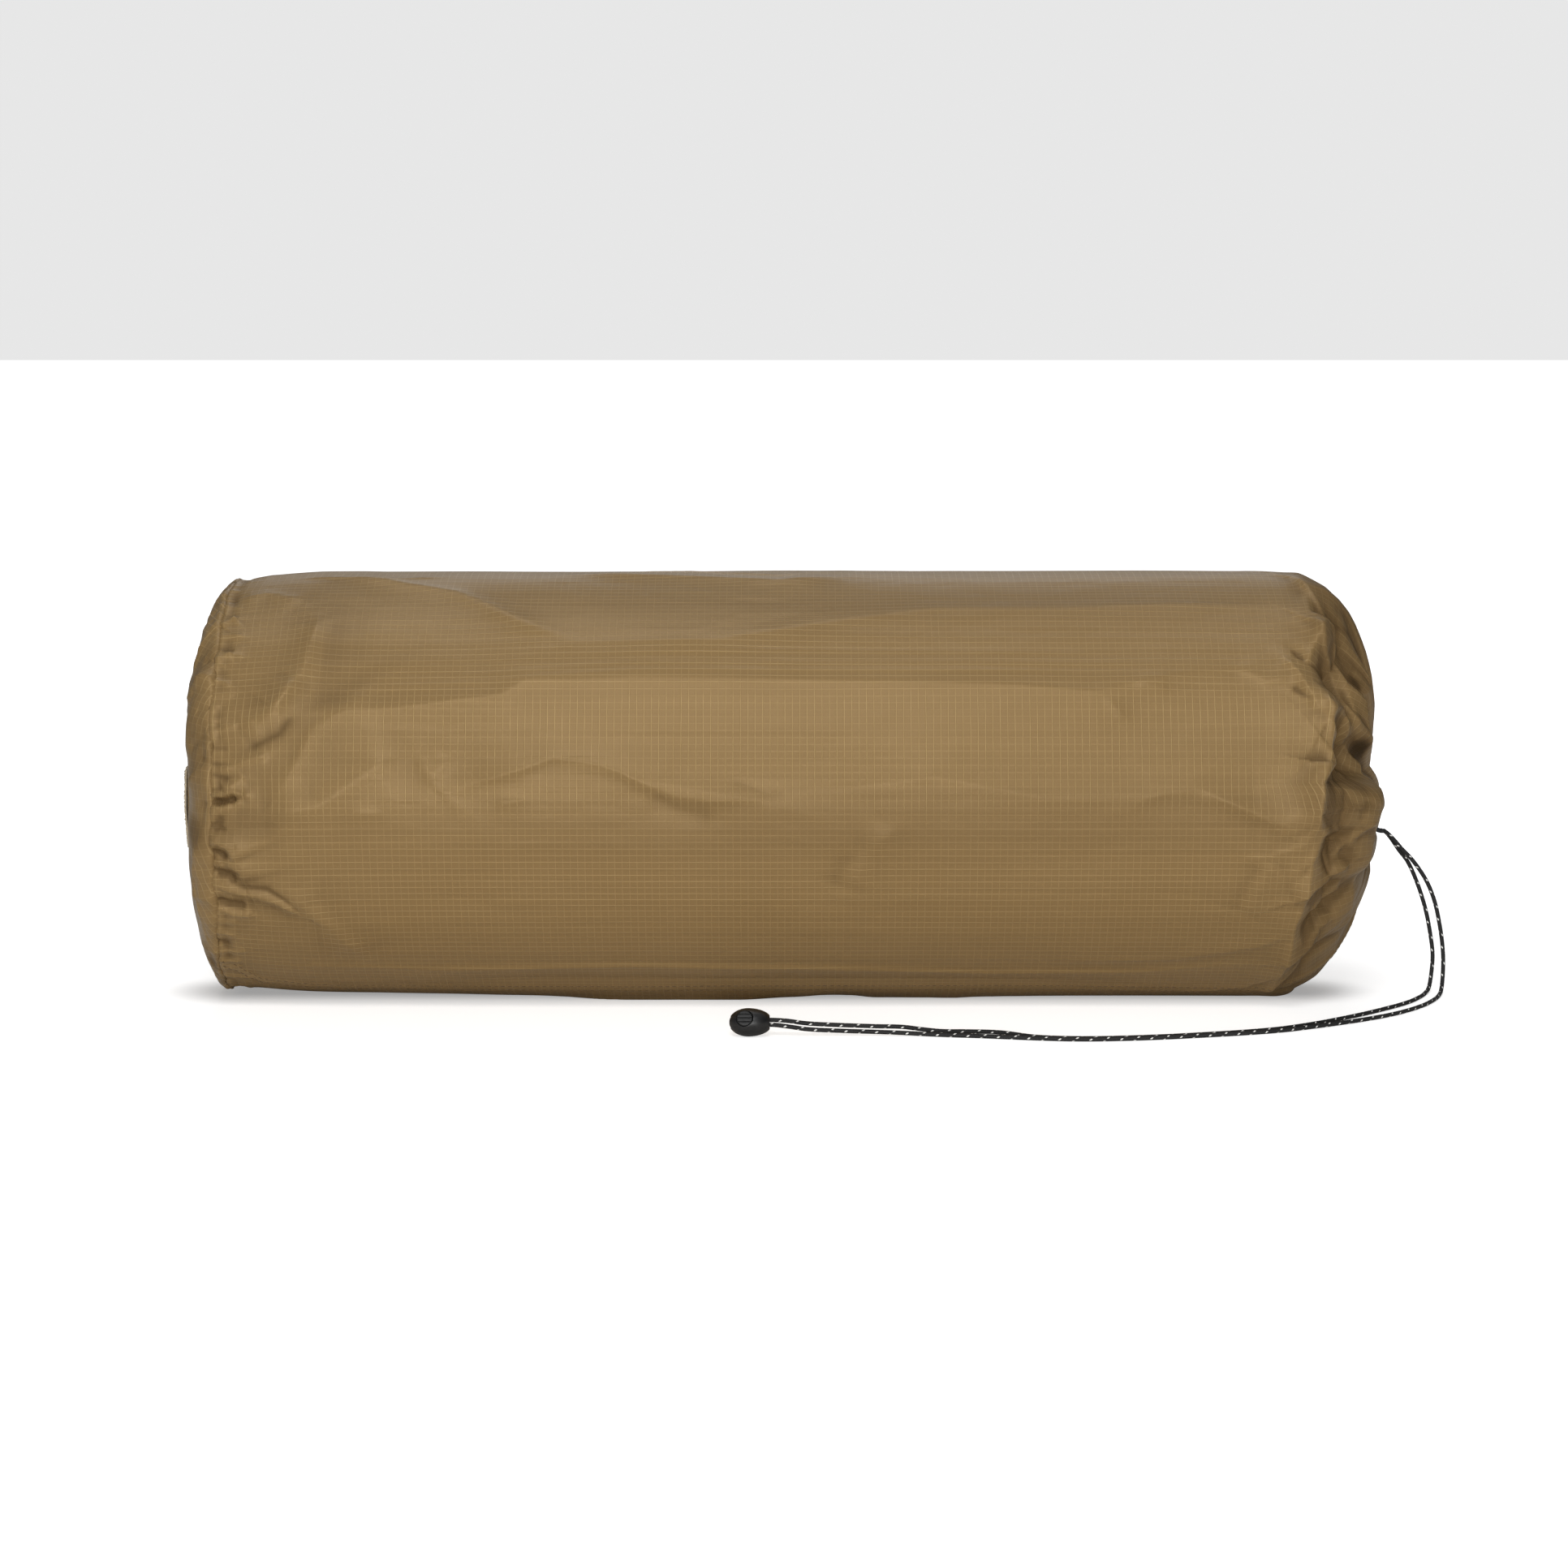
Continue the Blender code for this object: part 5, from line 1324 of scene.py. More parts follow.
    def surface(self) -> tuple[np.ndarray, np.ndarray, np.ndarray]:
        """The cloth's points by row and column, the flat places, and the painted shade of each point."""
        along = self.rows()
        degrees = self.columns()
        x, radius, axis, turn = self.shape.at(along)
        relief = self.relief(along, degrees)
        angle = np.radians(degrees)[None]
        reach = radius[:, None] + relief * np.cos(turn)[:, None]
        ahead = x[:, None] + relief * np.sin(turn)[:, None]
        ahead += self.set_back(along, axis[:, None] + radius[:, None] * np.sin(angle))
        ahead += self.seam_shift(degrees)[None] * np.clip(1.0 - along / 0.06, 0.0, 1.0)[:, None] ** 1.5
        ahead = self.hold_in(ahead, -reach * np.cos(angle), axis[:, None] + reach * np.sin(angle))
        points = np.empty((len(along), len(degrees), 3))
        points[..., 0] = ahead
        points[..., 1] = -reach * np.cos(angle)
        points[..., 2] = self.on_floor(axis[:, None] + reach * np.sin(angle), along)
        girth = np.concatenate([degrees, [180.0]]) * math.pi / 180 * self.shape.radius
        flat = np.stack(np.broadcast_arrays(girth[None], along[:, None]), -1)
        return points, flat, self.folds(relief, along, degrees)

    def folds(self, relief: np.ndarray, along: np.ndarray, degrees: np.ndarray) -> np.ndarray:
        """Painted shade: how deep each point lies in a fold or a shaded patch, which darkens the cloth's
        colour.

        Args:
            relief: the relief of the cloth, in metres by row and column.
            along: the rows, in metres of cloth from the base seam.
            degrees: the columns, in degrees up from the front.

        Returns:
            The depth by row and column: 1 is a fold, and more is a crease that no light reaches.
        """
        along_mm = along * 1000
        near = smoothed(relief, 10)
        sharp = np.clip((near - relief) * 1000 / 0.8, 0.0, 1.0)
        sharp *= np.interp(along_mm, [45, 80, 465, 495], [1.0, 0.4, 0.4, 1.0])[:, None]
        ends = np.interp(along, [0.035, 0.080, 0.470, 0.500], [1.0, 0.0, 0.0, 1.0])[:, None]
        broad = np.clip((smoothed(near, 70) - relief) * 1000 / 1.8, 0.0, 1.0) * ends
        depth = np.clip(sharp + 0.7 * broad + self.painted_shade_patches(along_mm, degrees), 0.0, 1.0)
        return depth + swell_field(DEEP_SHADES, along_mm, degrees)

    def build(self, finishes: Finishes) -> None:
        """Builds and dresses the cloth.

        Args:
            finishes: the materials.
        """
        # Painted shade: hollow is how dark the cloth's colour is painted in folds and shaded patches.
        points, flat, hollow = self.surface()
        mesh = skin("sack_cloth", points, flat, flip=True)
        mark_painted_shade(mesh, hollow)
        cloth = coat(link("sack_cloth", mesh), finishes.ripstop)
        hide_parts("sack_body", "mouth_hem")
        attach(cloth, ROOT)


class NodeRecipe:
    """A Geometry Nodes tree that repeats one small shape, with named inputs for its sizes."""

    def __init__(self, name: str, sockets: Sequence[tuple[str, str, Any]]) -> None:
        """Starts the tree with its inputs.

        Args:
            name: the tree's name.
            sockets: the name, the kind and the value of each input, with no value where it must be given.
        """
        self.tree = bpy.data.node_groups.new(name, "GeometryNodeTree")
        self.inputs = {}
        for label, kind, value in sockets:
            item = self.tree.interface.new_socket(label, in_out="INPUT", socket_type="NodeSocket" + kind)
            if value is not None:
                item.default_value = value
            self.inputs[label] = item.identifier
        self.tree.interface.new_socket("Result", in_out="OUTPUT", socket_type="NodeSocketGeometry")
        self.source = self.add("NodeGroupInput")

    def add(self, kind: str, inputs: Optional[dict[Any, Any]] = None, **settings: Any) -> bpy.types.Node:
        """Adds a node.

        Args:
            kind: the node's type.
            inputs: values by input name or number.
            settings: its properties.

        Returns:
            The node.
        """
        node = self.tree.nodes.new(kind)
        for key, value in settings.items():
            setattr(node, key, value)
        for key, value in (inputs or {}).items():
            node.inputs[key].default_value = value
        return node

    def join(self, *links: tuple[bpy.types.Node, Any, bpy.types.Node, Any]) -> None:
        """Joins outputs to inputs, each by its name or number."""
        for start, way_out, end, way_in in links:
            self.tree.links.new(start.outputs[way_out], end.inputs[way_in])

    def close(self, place: bpy.types.Node, material: str) -> None:
        """Ends the tree: its instances are made real and dressed.

        Args:
            place: the node that lays the instances.
            material: the name of the input with their material.
        """
        real = self.add("GeometryNodeRealizeInstances")
        dress = self.add("GeometryNodeSetMaterial")
        out = self.add("NodeGroupOutput")
        self.join((place, "Instances", real, "Geometry"), (real, "Geometry", dress, "Geometry"))
        self.join((self.source, material, dress, "Material"), (dress, "Geometry", out, 0))

    def run(self, obj: bpy.types.Object, values: dict[str, Any]) -> bpy.types.Object:
        """Runs the tree on a piece.

        Args:
            obj: the piece that it reads.
            values: values by input name.

        Returns:
            What the tree makes, as a plain piece.
        """
        modifier = obj.modifiers.new("Recipe", "NODES")
        modifier.node_group = self.tree
        for label, value in values.items():
            modifier[self.inputs[label]] = value
        obj.update_tag()
        return plain(obj)


class Stitching(NodeRecipe):
    """Rows of thread stitches laid along a path."""

    def __init__(self) -> None:
        """Builds the node tree: short rounded stitches at an even pitch along a curve."""
        sizes = (("Pitch", "Float", None), ("Length", "Float", None), ("Thickness", "Float", 0.22 * MM))
        super().__init__("stitch_row", (("Path", "Geometry", None), *sizes, ("Thread", "Material", None)))
        source = self.source
        points = self.add("GeometryNodeCurveToPoints", mode="LENGTH")
        bead = self.add("GeometryNodeMeshIcoSphere", {"Subdivisions": 1})
        size = self.add("ShaderNodeCombineXYZ")
        half = self.add("ShaderNodeMath", {1: 0.5}, operation="MULTIPLY")
        squeeze = self.add("GeometryNodeTransform")
        place = self.add("GeometryNodeInstanceOnPoints")
        self.join((source, "Path", points, "Curve"), (source, "Pitch", points, "Length"))
        self.join((source, "Length", half, 0), (half, 0, size, "Z"))
        self.join((source, "Thickness", size, "X"), (source, "Thickness", size, "Y"))
        self.join((bead, "Mesh", squeeze, "Geometry"), (size, 0, squeeze, "Scale"))
        self.join((points, "Points", place, "Points"), (squeeze, "Geometry", place, "Instance"))
        self.join((points, "Rotation", place, "Rotation"))
        self.close(place, "Thread")

    def row(self, name: str, line: np.ndarray, thread: bpy.types.Material, pitch: float,
            length: float) -> None:
        """Sews one row.

        Args:
            name: the piece's name.
            line: the points that the row follows.
            thread: the thread's material.
            pitch: from one stitch to the next.
            length: of one stitch.
        """
        curve = bpy.data.curves.new(name, "CURVE")
        curve.dimensions = "3D"
        spline = curve.splines.new("POLY")
        spline.points.add(len(line) - 1)
        for point, place in zip(spline.points, line):
            point.co = (*place, 1.0)
        obj = link(name, curve)
        stitches = self.run(obj, {"Pitch": pitch, "Length": length, "Thread": thread})
        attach(stitches, ROOT)
        coat(stitches, thread)


class LoopPile(NodeRecipe):
    """The standing loops of loop tape, scattered over it."""

    def __init__(self) -> None:
        """Builds the node tree: small bent loops at random turns over a surface."""
        sizes = (("Density", "Float", 1.6e6), ("Height", "Float", 1.3 * MM), ("Thread", "Float", 0.09 * MM))
        ends = (("Seed", "Int", None), ("Nylon", "Material", None))
        super().__init__("loop_pile", (("Tape", "Geometry", None), *sizes, *ends))
        source = self.source
        scatter = self.add("GeometryNodeDistributePointsOnFaces", distribute_method="RANDOM")
        bend = {"Resolution": 6, "Radius": 0.45, "Sweep Angle": math.radians(230)}
        arc = self.add("GeometryNodeCurveArc", bend, mode="RADIUS")
        stand = {"Rotation": (math.radians(90), math.radians(25), 0.0), "Translation": (0.0, 0.0, 0.42)}
        upright = self.add("GeometryNodeTransform", stand)
        thread = {"Resolution": 3, "Radius": 0.075}
        girth = self.add("GeometryNodeCurvePrimitiveCircle", thread, mode="RADIUS")
        loop = self.add("GeometryNodeCurveToMesh")
        lean = {0: (-0.45, -0.45, 0.0), 1: (0.45, 0.45, 6.28)}
        turn = self.add("FunctionNodeRandomValue", lean, data_type="FLOAT_VECTOR")
        spin = self.add("FunctionNodeRotateRotation", rotation_space="LOCAL")
        size = self.add("FunctionNodeRandomValue", {2: 0.55, 3: 1.15}, data_type="FLOAT")
        grow = self.add("ShaderNodeMath", operation="MULTIPLY")
        place = self.add("GeometryNodeInstanceOnPoints")
        self.join((source, "Tape", scatter, "Mesh"), (source, "Density", scatter, "Density"))
        for node in (scatter, turn, size):
            self.join((source, "Seed", node, "Seed"))
        self.join((arc, "Curve", upright, "Geometry"), (upright, "Geometry", loop, "Curve"))
        self.join((girth, "Curve", loop, "Profile Curve"), (scatter, "Points", place, "Points"))
        self.join((loop, "Mesh", place, "Instance"), (scatter, "Rotation", spin, "Rotation"))
        self.join((turn, "Value", spin, "Rotate By"), (spin, "Rotation", place, "Rotation"))
        self.join((size, 1, grow, 0), (source, "Height", grow, 1), (grow, 0, place, "Scale"))
        self.close(place, "Nylon")

    def grow(self, name: str, mesh: bpy.types.Mesh, nylon: bpy.types.Material,
            seed: int) -> bpy.types.Object:
        """Covers a surface with loops.

        Args:
            name: the piece's name.
            mesh: the surface.
            nylon: the loops' material.
            seed: what fixes their places.

        Returns:
            The loops as a plain piece.
        """
        obj = link(name, mesh.copy())
        loops = self.run(obj, {"Seed": seed, "Nylon": nylon})
        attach(loops, ROOT)
        return coat(loops, nylon)


BASE_CREASES = (
    Crease(FACET, 0.9, ((2, 40), (12, 30), (22, 14))),
    Crease(STEP, 0.9, ((0, 57), (8, 52), (18, 44))),
    Crease(STEP, 0.8, ((0, 38), (9, 36), (20, 33))),
    Crease(SOFT, 0.9, ((4, -5), (7, -16), (5, -30), (2, -40))),
    Crease(STEP, 0.8, ((2, -8), (9, -14), (12, -24), (7, -36))),
    Crease(RIDGE, 0.7, ((0, 12), (9, 10), (20, 6))),
    Crease(RIDGE, -0.7, ((0, 20), (8, 19), (16, 17))),
    Crease(FACET, 0.8, ((16, 60), (26, 30), (28, 0), (24, -30), (18, -52))),
)
# Painted shade: patches where the base's colour is darkened, as the shaded parts of its folds.
BASE_SHADES = (
    Swell(0.80, (10, -7.0), (12, 4.6), 3.0, 1.0),
    Swell(0.42, (9, 16.0), (9, 13.0), 3.0),
    Swell(0.40, (16, -24.0), (5, 14.0), 3.0),
    Swell(0.45, (7, 42.0), (8, 7.0), 3.0, -2.0),
    Swell(0.35, (6, -52.0), (9, 6.0), 3.0),
)


@dataclass
class BasePanel:
    """The round base: a bulging disc of the same ripstop, with the loop tape sewn on it."""

    rim_x: float = -260.9 * MM
    radius: float = 97.5 * MM
    depth: float = 20.9 * MM
    axis_z: float = 99.9 * MM
    tape_width: float = 76.0 * MM
    tape_height: float = 36.0 * MM
    tape_thickness: float = 0.7 * MM
    tape_drop: float = 6.9 * MM
    tape_lift: float = 0.5 * MM
    tape_inset: float = 2.0 * MM
    dent_depth: float = 6.6 * MM
    dent_degrees: float = 8.0
    dent_spread: float = 46.0
    seed: int = 23

    def bulge(self, reach: np.ndarray) -> np.ndarray:
        """How far the plain base stands out at a distance from its middle."""
        share = np.clip(1.0 - (reach / self.radius) ** 2, 0.0, 1.0)
        return self.depth * np.sqrt(share)

    def puckers(self) -> list[Crease]:
        """The gathers that run in from the seam."""
        random = np.random.default_rng(self.seed)
        found = list(BASE_CREASES)
        degree = -178.0
        while degree < 178.0:
            length = random.uniform(5.0, 16.0)
            height = random.uniform(0.2, 0.7) * random.choice([1.0, -1.0])
            lean = random.uniform(-3.0, 3.0)
            found.append(Crease(RIDGE, height, ((-1.0, degree), (length, degree + lean)), 0.8))
            degree += random.uniform(2.6, 6.5)
        return found

    def past_tape(self, y: np.ndarray, z: np.ndarray) -> np.ndarray:
        """How far a place on the base is clear of the tape sewn on it, from 0 under the tape to 1.

        Args:
            y: across the base, in metres from its middle.
            z: up the base, in metres from its middle.

        Returns:
            The share by row and column.
        """
        beside = np.abs(y) - self.tape_width / 2
        above = np.abs(z + self.tape_drop) - self.tape_height / 2
        share = np.clip((np.maximum(beside, above) - 0.5 * MM) / (13.0 * MM), 0.0, 1.0)
        return eased(share)

    def profile(self) -> tuple[np.ndarray, np.ndarray, np.ndarray]:
        """The plain base, from its tucked rim to its middle.

        Returns:
            How far from the middle, how far out, and how far in along the cloth each row lies, in metres.
        """
        turns = np.linspace(0.0, math.pi / 2, 74)
        reach = self.radius * np.cos(turns)
        out = self.depth * np.sin(turns)
        steps = np.hypot(np.diff(reach), np.diff(out))
        inward = np.concatenate([[0.0], np.cumsum(steps)])
        reach = np.concatenate([[self.radius - 7.0 * MM, self.radius - 2.2 * MM], reach])
        out = np.concatenate([[-2.0 * MM, -0.4 * MM], out])
        inward = np.concatenate([[-7.0 * MM, -2.2 * MM], inward])
        return reach, out, inward

    def relief(self, reach: np.ndarray, inward: np.ndarray, degrees: np.ndarray) -> np.ndarray:
        """The relief of the base over its plain shape.

        Args:
            reach: how far from the middle each row lies, in metres.
            inward: how far in along the cloth each row lies, in metres.
            degrees: the columns, in degrees up from the front.

        Returns:
            The relief by row and column, in mm.
        """
        girth = self.radius * 1000 * math.pi / 180
        height = crease_field(self.puckers(), inward * 1000, degrees, girth) * 2.0
        share = np.clip(inward / inward[-1], 0.0, 1.0)
        around = (degrees + 180.0) / 360.0
        inside = np.clip(share * 6, 0, 1)[:, None]
        height += 1.1 * soft_lattice(31, share, around, (3, 7)) * inside
        height += 0.25 * soft_lattice(32, share, around, (12, 40)) * inside
        seam = np.exp(-(((inward * 1000 - 1.0) / 1.4) ** 2)) * 0.35
        seam -= np.exp(-(((inward * 1000 - 4.6) / 2.2) ** 2)) * 0.5
        height += seam[:, None] * (0.7 + 0.9 * soft_lattice(33, share, around, (2, 44)))
        middle = np.clip((reach / self.radius - 0.36) / 0.30, 0.0, 1.0)
        return height * eased(middle)[:, None]

    def cloth(self, finishes: Finishes) -> None:
        """Builds the disc of cloth from its tucked rim to its middle.

        Args:
            finishes: the materials.
        """
        reach, out, inward = self.profile()
        degrees = np.linspace(-180.0, 180.0, 381)[:-1]
        height = self.relief(reach, inward, degrees)
        turn = np.arctan2(-np.gradient(reach), np.gradient(out))
        angle = np.radians(degrees)[None]
        relief = height / 1000
        wide = reach[:, None] + relief * np.cos(turn)[:, None]
        ahead = self.rim_x - out[:, None] - relief * np.sin(turn)[:, None]
        flatter = np.exp(-(((reach / self.radius - 0.52) / 0.26) ** 2))[:, None]
        dented = np.exp(-(((degrees - self.dent_degrees) / self.dent_spread) ** 2))[None]
        dent = self.dent_depth * flatter * dented
        ahead += dent * self.past_tape(-reach[:, None] * np.cos(angle), reach[:, None] * np.sin(angle))
        near_rim = np.clip(reach / self.radius, 0.0, 1.0)[:, None] ** 4
        ahead += StuffSack().seam_shift(degrees)[None] * near_rim
        points = np.empty((len(reach), len(degrees), 3))
        points[..., 0] = ahead
        points[..., 1] = -wide * np.cos(angle)
        points[..., 2] = np.maximum(self.axis_z + wide * np.sin(angle), 0.2 * MM)
        shown = np.concatenate([degrees, [180.0]])
        length = (inward[-1] - inward)[:, None]
        flat = np.stack([length * np.cos(np.radians(shown)), length * np.sin(np.radians(shown))], -1)
        # Painted shade: the base's colour darkens in its creases and in the BASE_SHADES patches.
        shade = np.clip(-height / 1.4, 0.0, 0.5) + swell_field(BASE_SHADES, inward * 1000, degrees)
        mesh = skin("base_cloth", points, flat)
        mark_painted_shade(mesh, np.clip(shade, 0.0, 1.0))
        weld(mesh)
        base = coat(link("base_cloth", mesh), finishes.ripstop)
        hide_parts("base_panel")
        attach(base, ROOT)

    def tape_seam(self) -> np.ndarray:
        """The line of the stitches, a little inside the edge of the tape."""
        half_y = self.tape_width / 2 - self.tape_inset
        half_z = self.tape_height / 2 - self.tape_inset
        corners = [(-half_y, -half_z), (half_y, -half_z), (half_y, half_z), (-half_y, half_z)]
        corners.append(corners[0])
        line = []
        for (ay, az), (by, bz) in zip(corners, corners[1:]):
            for t in np.linspace(0.0, 1.0, 24)[:-1]:
                py = ay + (by - ay) * t
                pz = az + (bz - az) * t - self.tape_drop
                out = float(self.bulge(np.array(math.hypot(py, pz))))
                line.append((self.rim_x - out - self.tape_lift - 0.75 * MM, py, pz + self.axis_z))
        return np.array(line)

    def tape(self, finishes: Finishes, pile: LoopPile, sewing: Stitching) -> None:
        """Builds the loop tape with its pile and the thread that holds it.

        Args:
            finishes: the materials.
            pile: grows the loops.
            sewing: makes the stitches.
        """
        u = np.linspace(-1.0, 1.0, 40)
        v = np.linspace(-1.0, 1.0, 22)
        y = u[None] * self.tape_width / 2 + 0 * v[:, None]
        z = v[:, None] * self.tape_height / 2 - self.tape_drop + 0 * u[None]
        wavy = 0.35 * MM * np.sin(u[None] * 5.0 + 1.0) * np.cos(v[:, None] * 3.0)
        x = self.rim_x - self.bulge(np.hypot(y, z)) - self.tape_lift - wavy
        rows = np.stack([x, y, z + self.axis_z], -1)
        mesh = skin("loop_tape", rows, ring=False, flip=True)
        tape = coat(link("loop_tape", mesh), finishes.tape)
        wall = tape.modifiers.new("Wall", "SOLIDIFY")
        wall.thickness = self.tape_thickness
        wall.offset = 1.0
        face = mesh.copy()
        tape = coat(plain(tape), finishes.tape)
        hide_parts("loop_patch")
        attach(tape, ROOT)
        loops = pile.grow("loop_pile", face, finishes.tape, 4)
        sewing.row("tape_stitches", self.tape_seam(), finishes.thread, 2.8 * MM, 2.3 * MM)


FRONT_ROUTE = (
    (0.2889, -0.0013, 0.0757),
    (0.2914, -0.0014, 0.0731),
    (0.2951, -0.0017, 0.0689),
    (0.2998, -0.0020, 0.0640),
    (0.3065, -0.0024, 0.0545),
    (0.3105, -0.0027, 0.0455),
    (0.3135, -0.0030, 0.0335),
    (0.3155, -0.0036, 0.0190),
    (0.3153, -0.0056, 0.0085),
    (0.3138, -0.0110, 0.0026),
    (0.3110, -0.0205, 0.0012),
    (0.3055, -0.0345, 0.0011),
    (0.2974, -0.0492, 0.0011),
    (0.2826, -0.0679, 0.0011),
    (0.2674, -0.0815, 0.0011),
    (0.2408, -0.1000, 0.0011),
    (0.2225, -0.1105, 0.0011),
    (0.1853, -0.1225, 0.0011),
    (0.1561, -0.1290, 0.0011),
    (0.1313, -0.1310, 0.0011),
    (0.1120, -0.1285, 0.0011),
    (0.0990, -0.1257, 0.0011),
    (0.0850, -0.1228, 0.0011),
    (0.0740, -0.1210, 0.0011),
    (0.0629, -0.1190, 0.0012),
    (0.0540, -0.1180, 0.0015),
    (0.0410, -0.1174, 0.0019),
    (0.0250, -0.1174, 0.0024),
    (0.0090, -0.1179, 0.0033),
    (0.0000, -0.1184, 0.0047),
)
REAR_ROUTE = (
    (0.2887, 0.0014, 0.0756),
    (0.2909, 0.0016, 0.0728),
    (0.2942, 0.0022, 0.0680),
    (0.2985, 0.0028, 0.0625),
    (0.3035, 0.0034, 0.0520),
    (0.3080, 0.0036, 0.0385),
    (0.3106, 0.0036, 0.0260),
    (0.3117, 0.0030, 0.0170),
    (0.3108, 0.0005, 0.0080),
    (0.3089, -0.0050, 0.0026),
    (0.3060, -0.0130, 0.0012),
    (0.3000, -0.0270, 0.0011),
    (0.2923, -0.0400, 0.0011),
    (0.2767, -0.0590, 0.0011),
    (0.2620, -0.0745, 0.0011),
    (0.2390, -0.0950, 0.0011),
    (0.2210, -0.1070, 0.0011),
    (0.1848, -0.1198, 0.0011),
    (0.1560, -0.1263, 0.0011),
    (0.1313, -0.1283, 0.0011),
    (0.1130, -0.1252, 0.0011),
    (0.0957, -0.1140, 0.0011),
    (0.0818, -0.1125, 0.0012),
    (0.0700, -0.1138, 0.0016),
    (0.0600, -0.1148, 0.0028),
    (0.0530, -0.1160, 0.0039),
    (0.0410, -0.1170, 0.0044),
    (0.0250, -0.1168, 0.0049),
    (0.0090, -0.1171, 0.0058),
    (0.0000, -0.1172, 0.0070),
)


@dataclass
class CordLock:
    """The egg-shaped cord lock with its recessed ribbed button and its spring."""

    place: Point = (-16.9 * MM, -118.0 * MM, 6.4 * MM)
    radius: float = 6.4 * MM
    nose: float = 7.9 * MM
    tail: float = 9.7 * MM
    tail_radius: float = 2.9 * MM
    floor_wall: float = 1.1 * MM
    spacing: float = 2.3 * MM
    passage: float = 1.25 * MM
    button_radius: float = 3.6 * MM
    button_offset: float = -1.6 * MM
    button_travel: float = 1.6 * MM
    recess: float = 0.7 * MM
    web: float = 0.9 * MM
    gap: float = 0.25 * MM
    bead_radius: float = 2.4 * MM
    bead_depth: float = 2.2 * MM
    rim: float = 0.7 * MM
    cap_edge: float = 0.45 * MM
    groove_width: float = 0.8 * MM
    groove_depth: float = 0.55 * MM
    groove_pitch: float = 1.8 * MM
    coil_radius: float = 2.3 * MM
    coil_turns: float = 3.25
    coil_seat: float = 0.475 * MM
    wire_radius: float = 0.175 * MM
    tilt: float = math.radians(30)

    def axis(self) -> Vector:
        """The way out along the button."""
        return Vector((0.0, -math.cos(self.tilt), math.sin(self.tilt)))

    def strand(self, side: int, x: float) -> Vector:
        """Where a strand lies inside the lock."""
        row = Vector((0.0, math.sin(self.tilt), math.cos(self.tilt))) * (side * self.spacing / 2)
        return Vector((x, self.place[1] + row.y, self.place[2] + row.z))

    def frame(self) -> Matrix:
        """Placement whose Z runs out along the button and whose X runs along the cords."""
        z = self.axis()
        x = Vector((1.0, 0.0, 0.0))
        turn = Matrix((x, z.cross(x), z)).transposed().to_4x4()
        return Matrix.Translation(Vector(self.place) + Vector((self.button_offset, 0.0, 0.0))) @ turn

    def seat_x(self) -> float:
        """Where the bead's seat ends in the nose, along X."""
        return self.place[0] - self.nose + self.bead_depth

    def along_cords(self, x: float) -> Matrix:
        """Placement at x on the lock's axis whose Z runs along the cords."""
        return Matrix.Translation((x, self.place[1], self.place[2])) @ Matrix.Rotation(math.pi / 2, 4, "Y")

    def egg(self) -> list[tuple[float, float]]:
        """The outline from the tail down to the nose."""
        steps = 22
        points = [(0.0, self.tail)]
        points.append((self.tail_radius - 0.35 * MM, self.tail))
        for i in range(1, steps + 1):
            turn = math.pi / 2 * i / steps
            wide = self.tail_radius + (self.radius - self.tail_radius) * math.sin(turn) ** 1.3
            points.append((wide, self.tail * math.cos(turn)))
        nose_radius = self.bead_radius + self.gap + 0.25 * MM
        last = math.acos(nose_radius / self.radius)
        for i in range(1, steps + 1):
            turn = last * i / steps
            points.append((self.radius * math.cos(turn), -self.nose * math.sin(turn) / math.sin(last)))
        points.append((0.0, -self.nose))
        return points

    def cutter(self, name: str, mesh: bpy.types.Mesh, placed: Matrix) -> bpy.types.Object:
        """A closed shape to cut with, its place in its mesh."""
        mesh.transform(placed)
        weld(mesh)
        return link(name, mesh)

    def bar(self, name: str, ring: Sequence[tuple[float, float]], reach: float,
            placed: Matrix) -> bpy.types.Object:
        """A closed bar to cut with.

        Args:
            name: the piece's name.
            ring: its section, by y and z.
            reach: how far it runs each way along x, in metres.
            placed: where it is put.

        Returns:
            The bar.
        """
        rows = np.array([[(x, y, z) for y, z in ring] for x in (-reach, reach)])
        centres = rows.mean(1, keepdims=True) + 0 * rows
        rows = np.concatenate([centres[:1], rows, centres[1:]])
        return self.cutter(name, skin(name, rows), placed)

    def slot(self, name: str, low: float, high: float, placed: Matrix) -> bpy.types.Object:
        """A round-sided passage along the cords, from low to high on the button's axis."""
        half = (high - low) / 2
        middle = (high + low) / 2
        ring = []
        for side in (1, -1):
            for i in range(13):
                turn = math.pi * i / 12
                wide = self.spacing / 2 + self.passage * math.sin(turn)
                ring.append((side * wide, middle + side * half * math.cos(turn)))
        return self.bar(name, ring, 0.04, placed)

    def carve(self, obj: bpy.types.Object, cutters: Sequence[bpy.types.Object],
            round_off: float) -> bpy.types.Object:
        """Cuts shapes out of a piece and softens the edges that they leave.

        Args:
            obj: the piece.
            cutters: the shapes, which are removed afterwards.
            round_off: how far an edge is rounded, in metres.

        Returns:
            The piece with its modifiers applied.
        """
        for cutter in cutters:
            boolean = obj.modifiers.new("Cut", "BOOLEAN")
            boolean.operation = "DIFFERENCE"
            boolean.solver = "EXACT"
            boolean.object = cutter
        cut = plain(obj)
        for cutter in cutters:
            bpy.data.objects.remove(cutter, do_unlink=True)
        weld(cut.data)
        bevel = cut.modifiers.new("Edges", "BEVEL")
        bevel.width = round_off
        bevel.segments = 2
        bevel.limit_method = "ANGLE"
        bevel.angle_limit = math.radians(38)
        bevel.harden_normals = False
        done = plain(cut)
        done.data.set_sharp_from_angle(angle=math.radians(52))
        return done

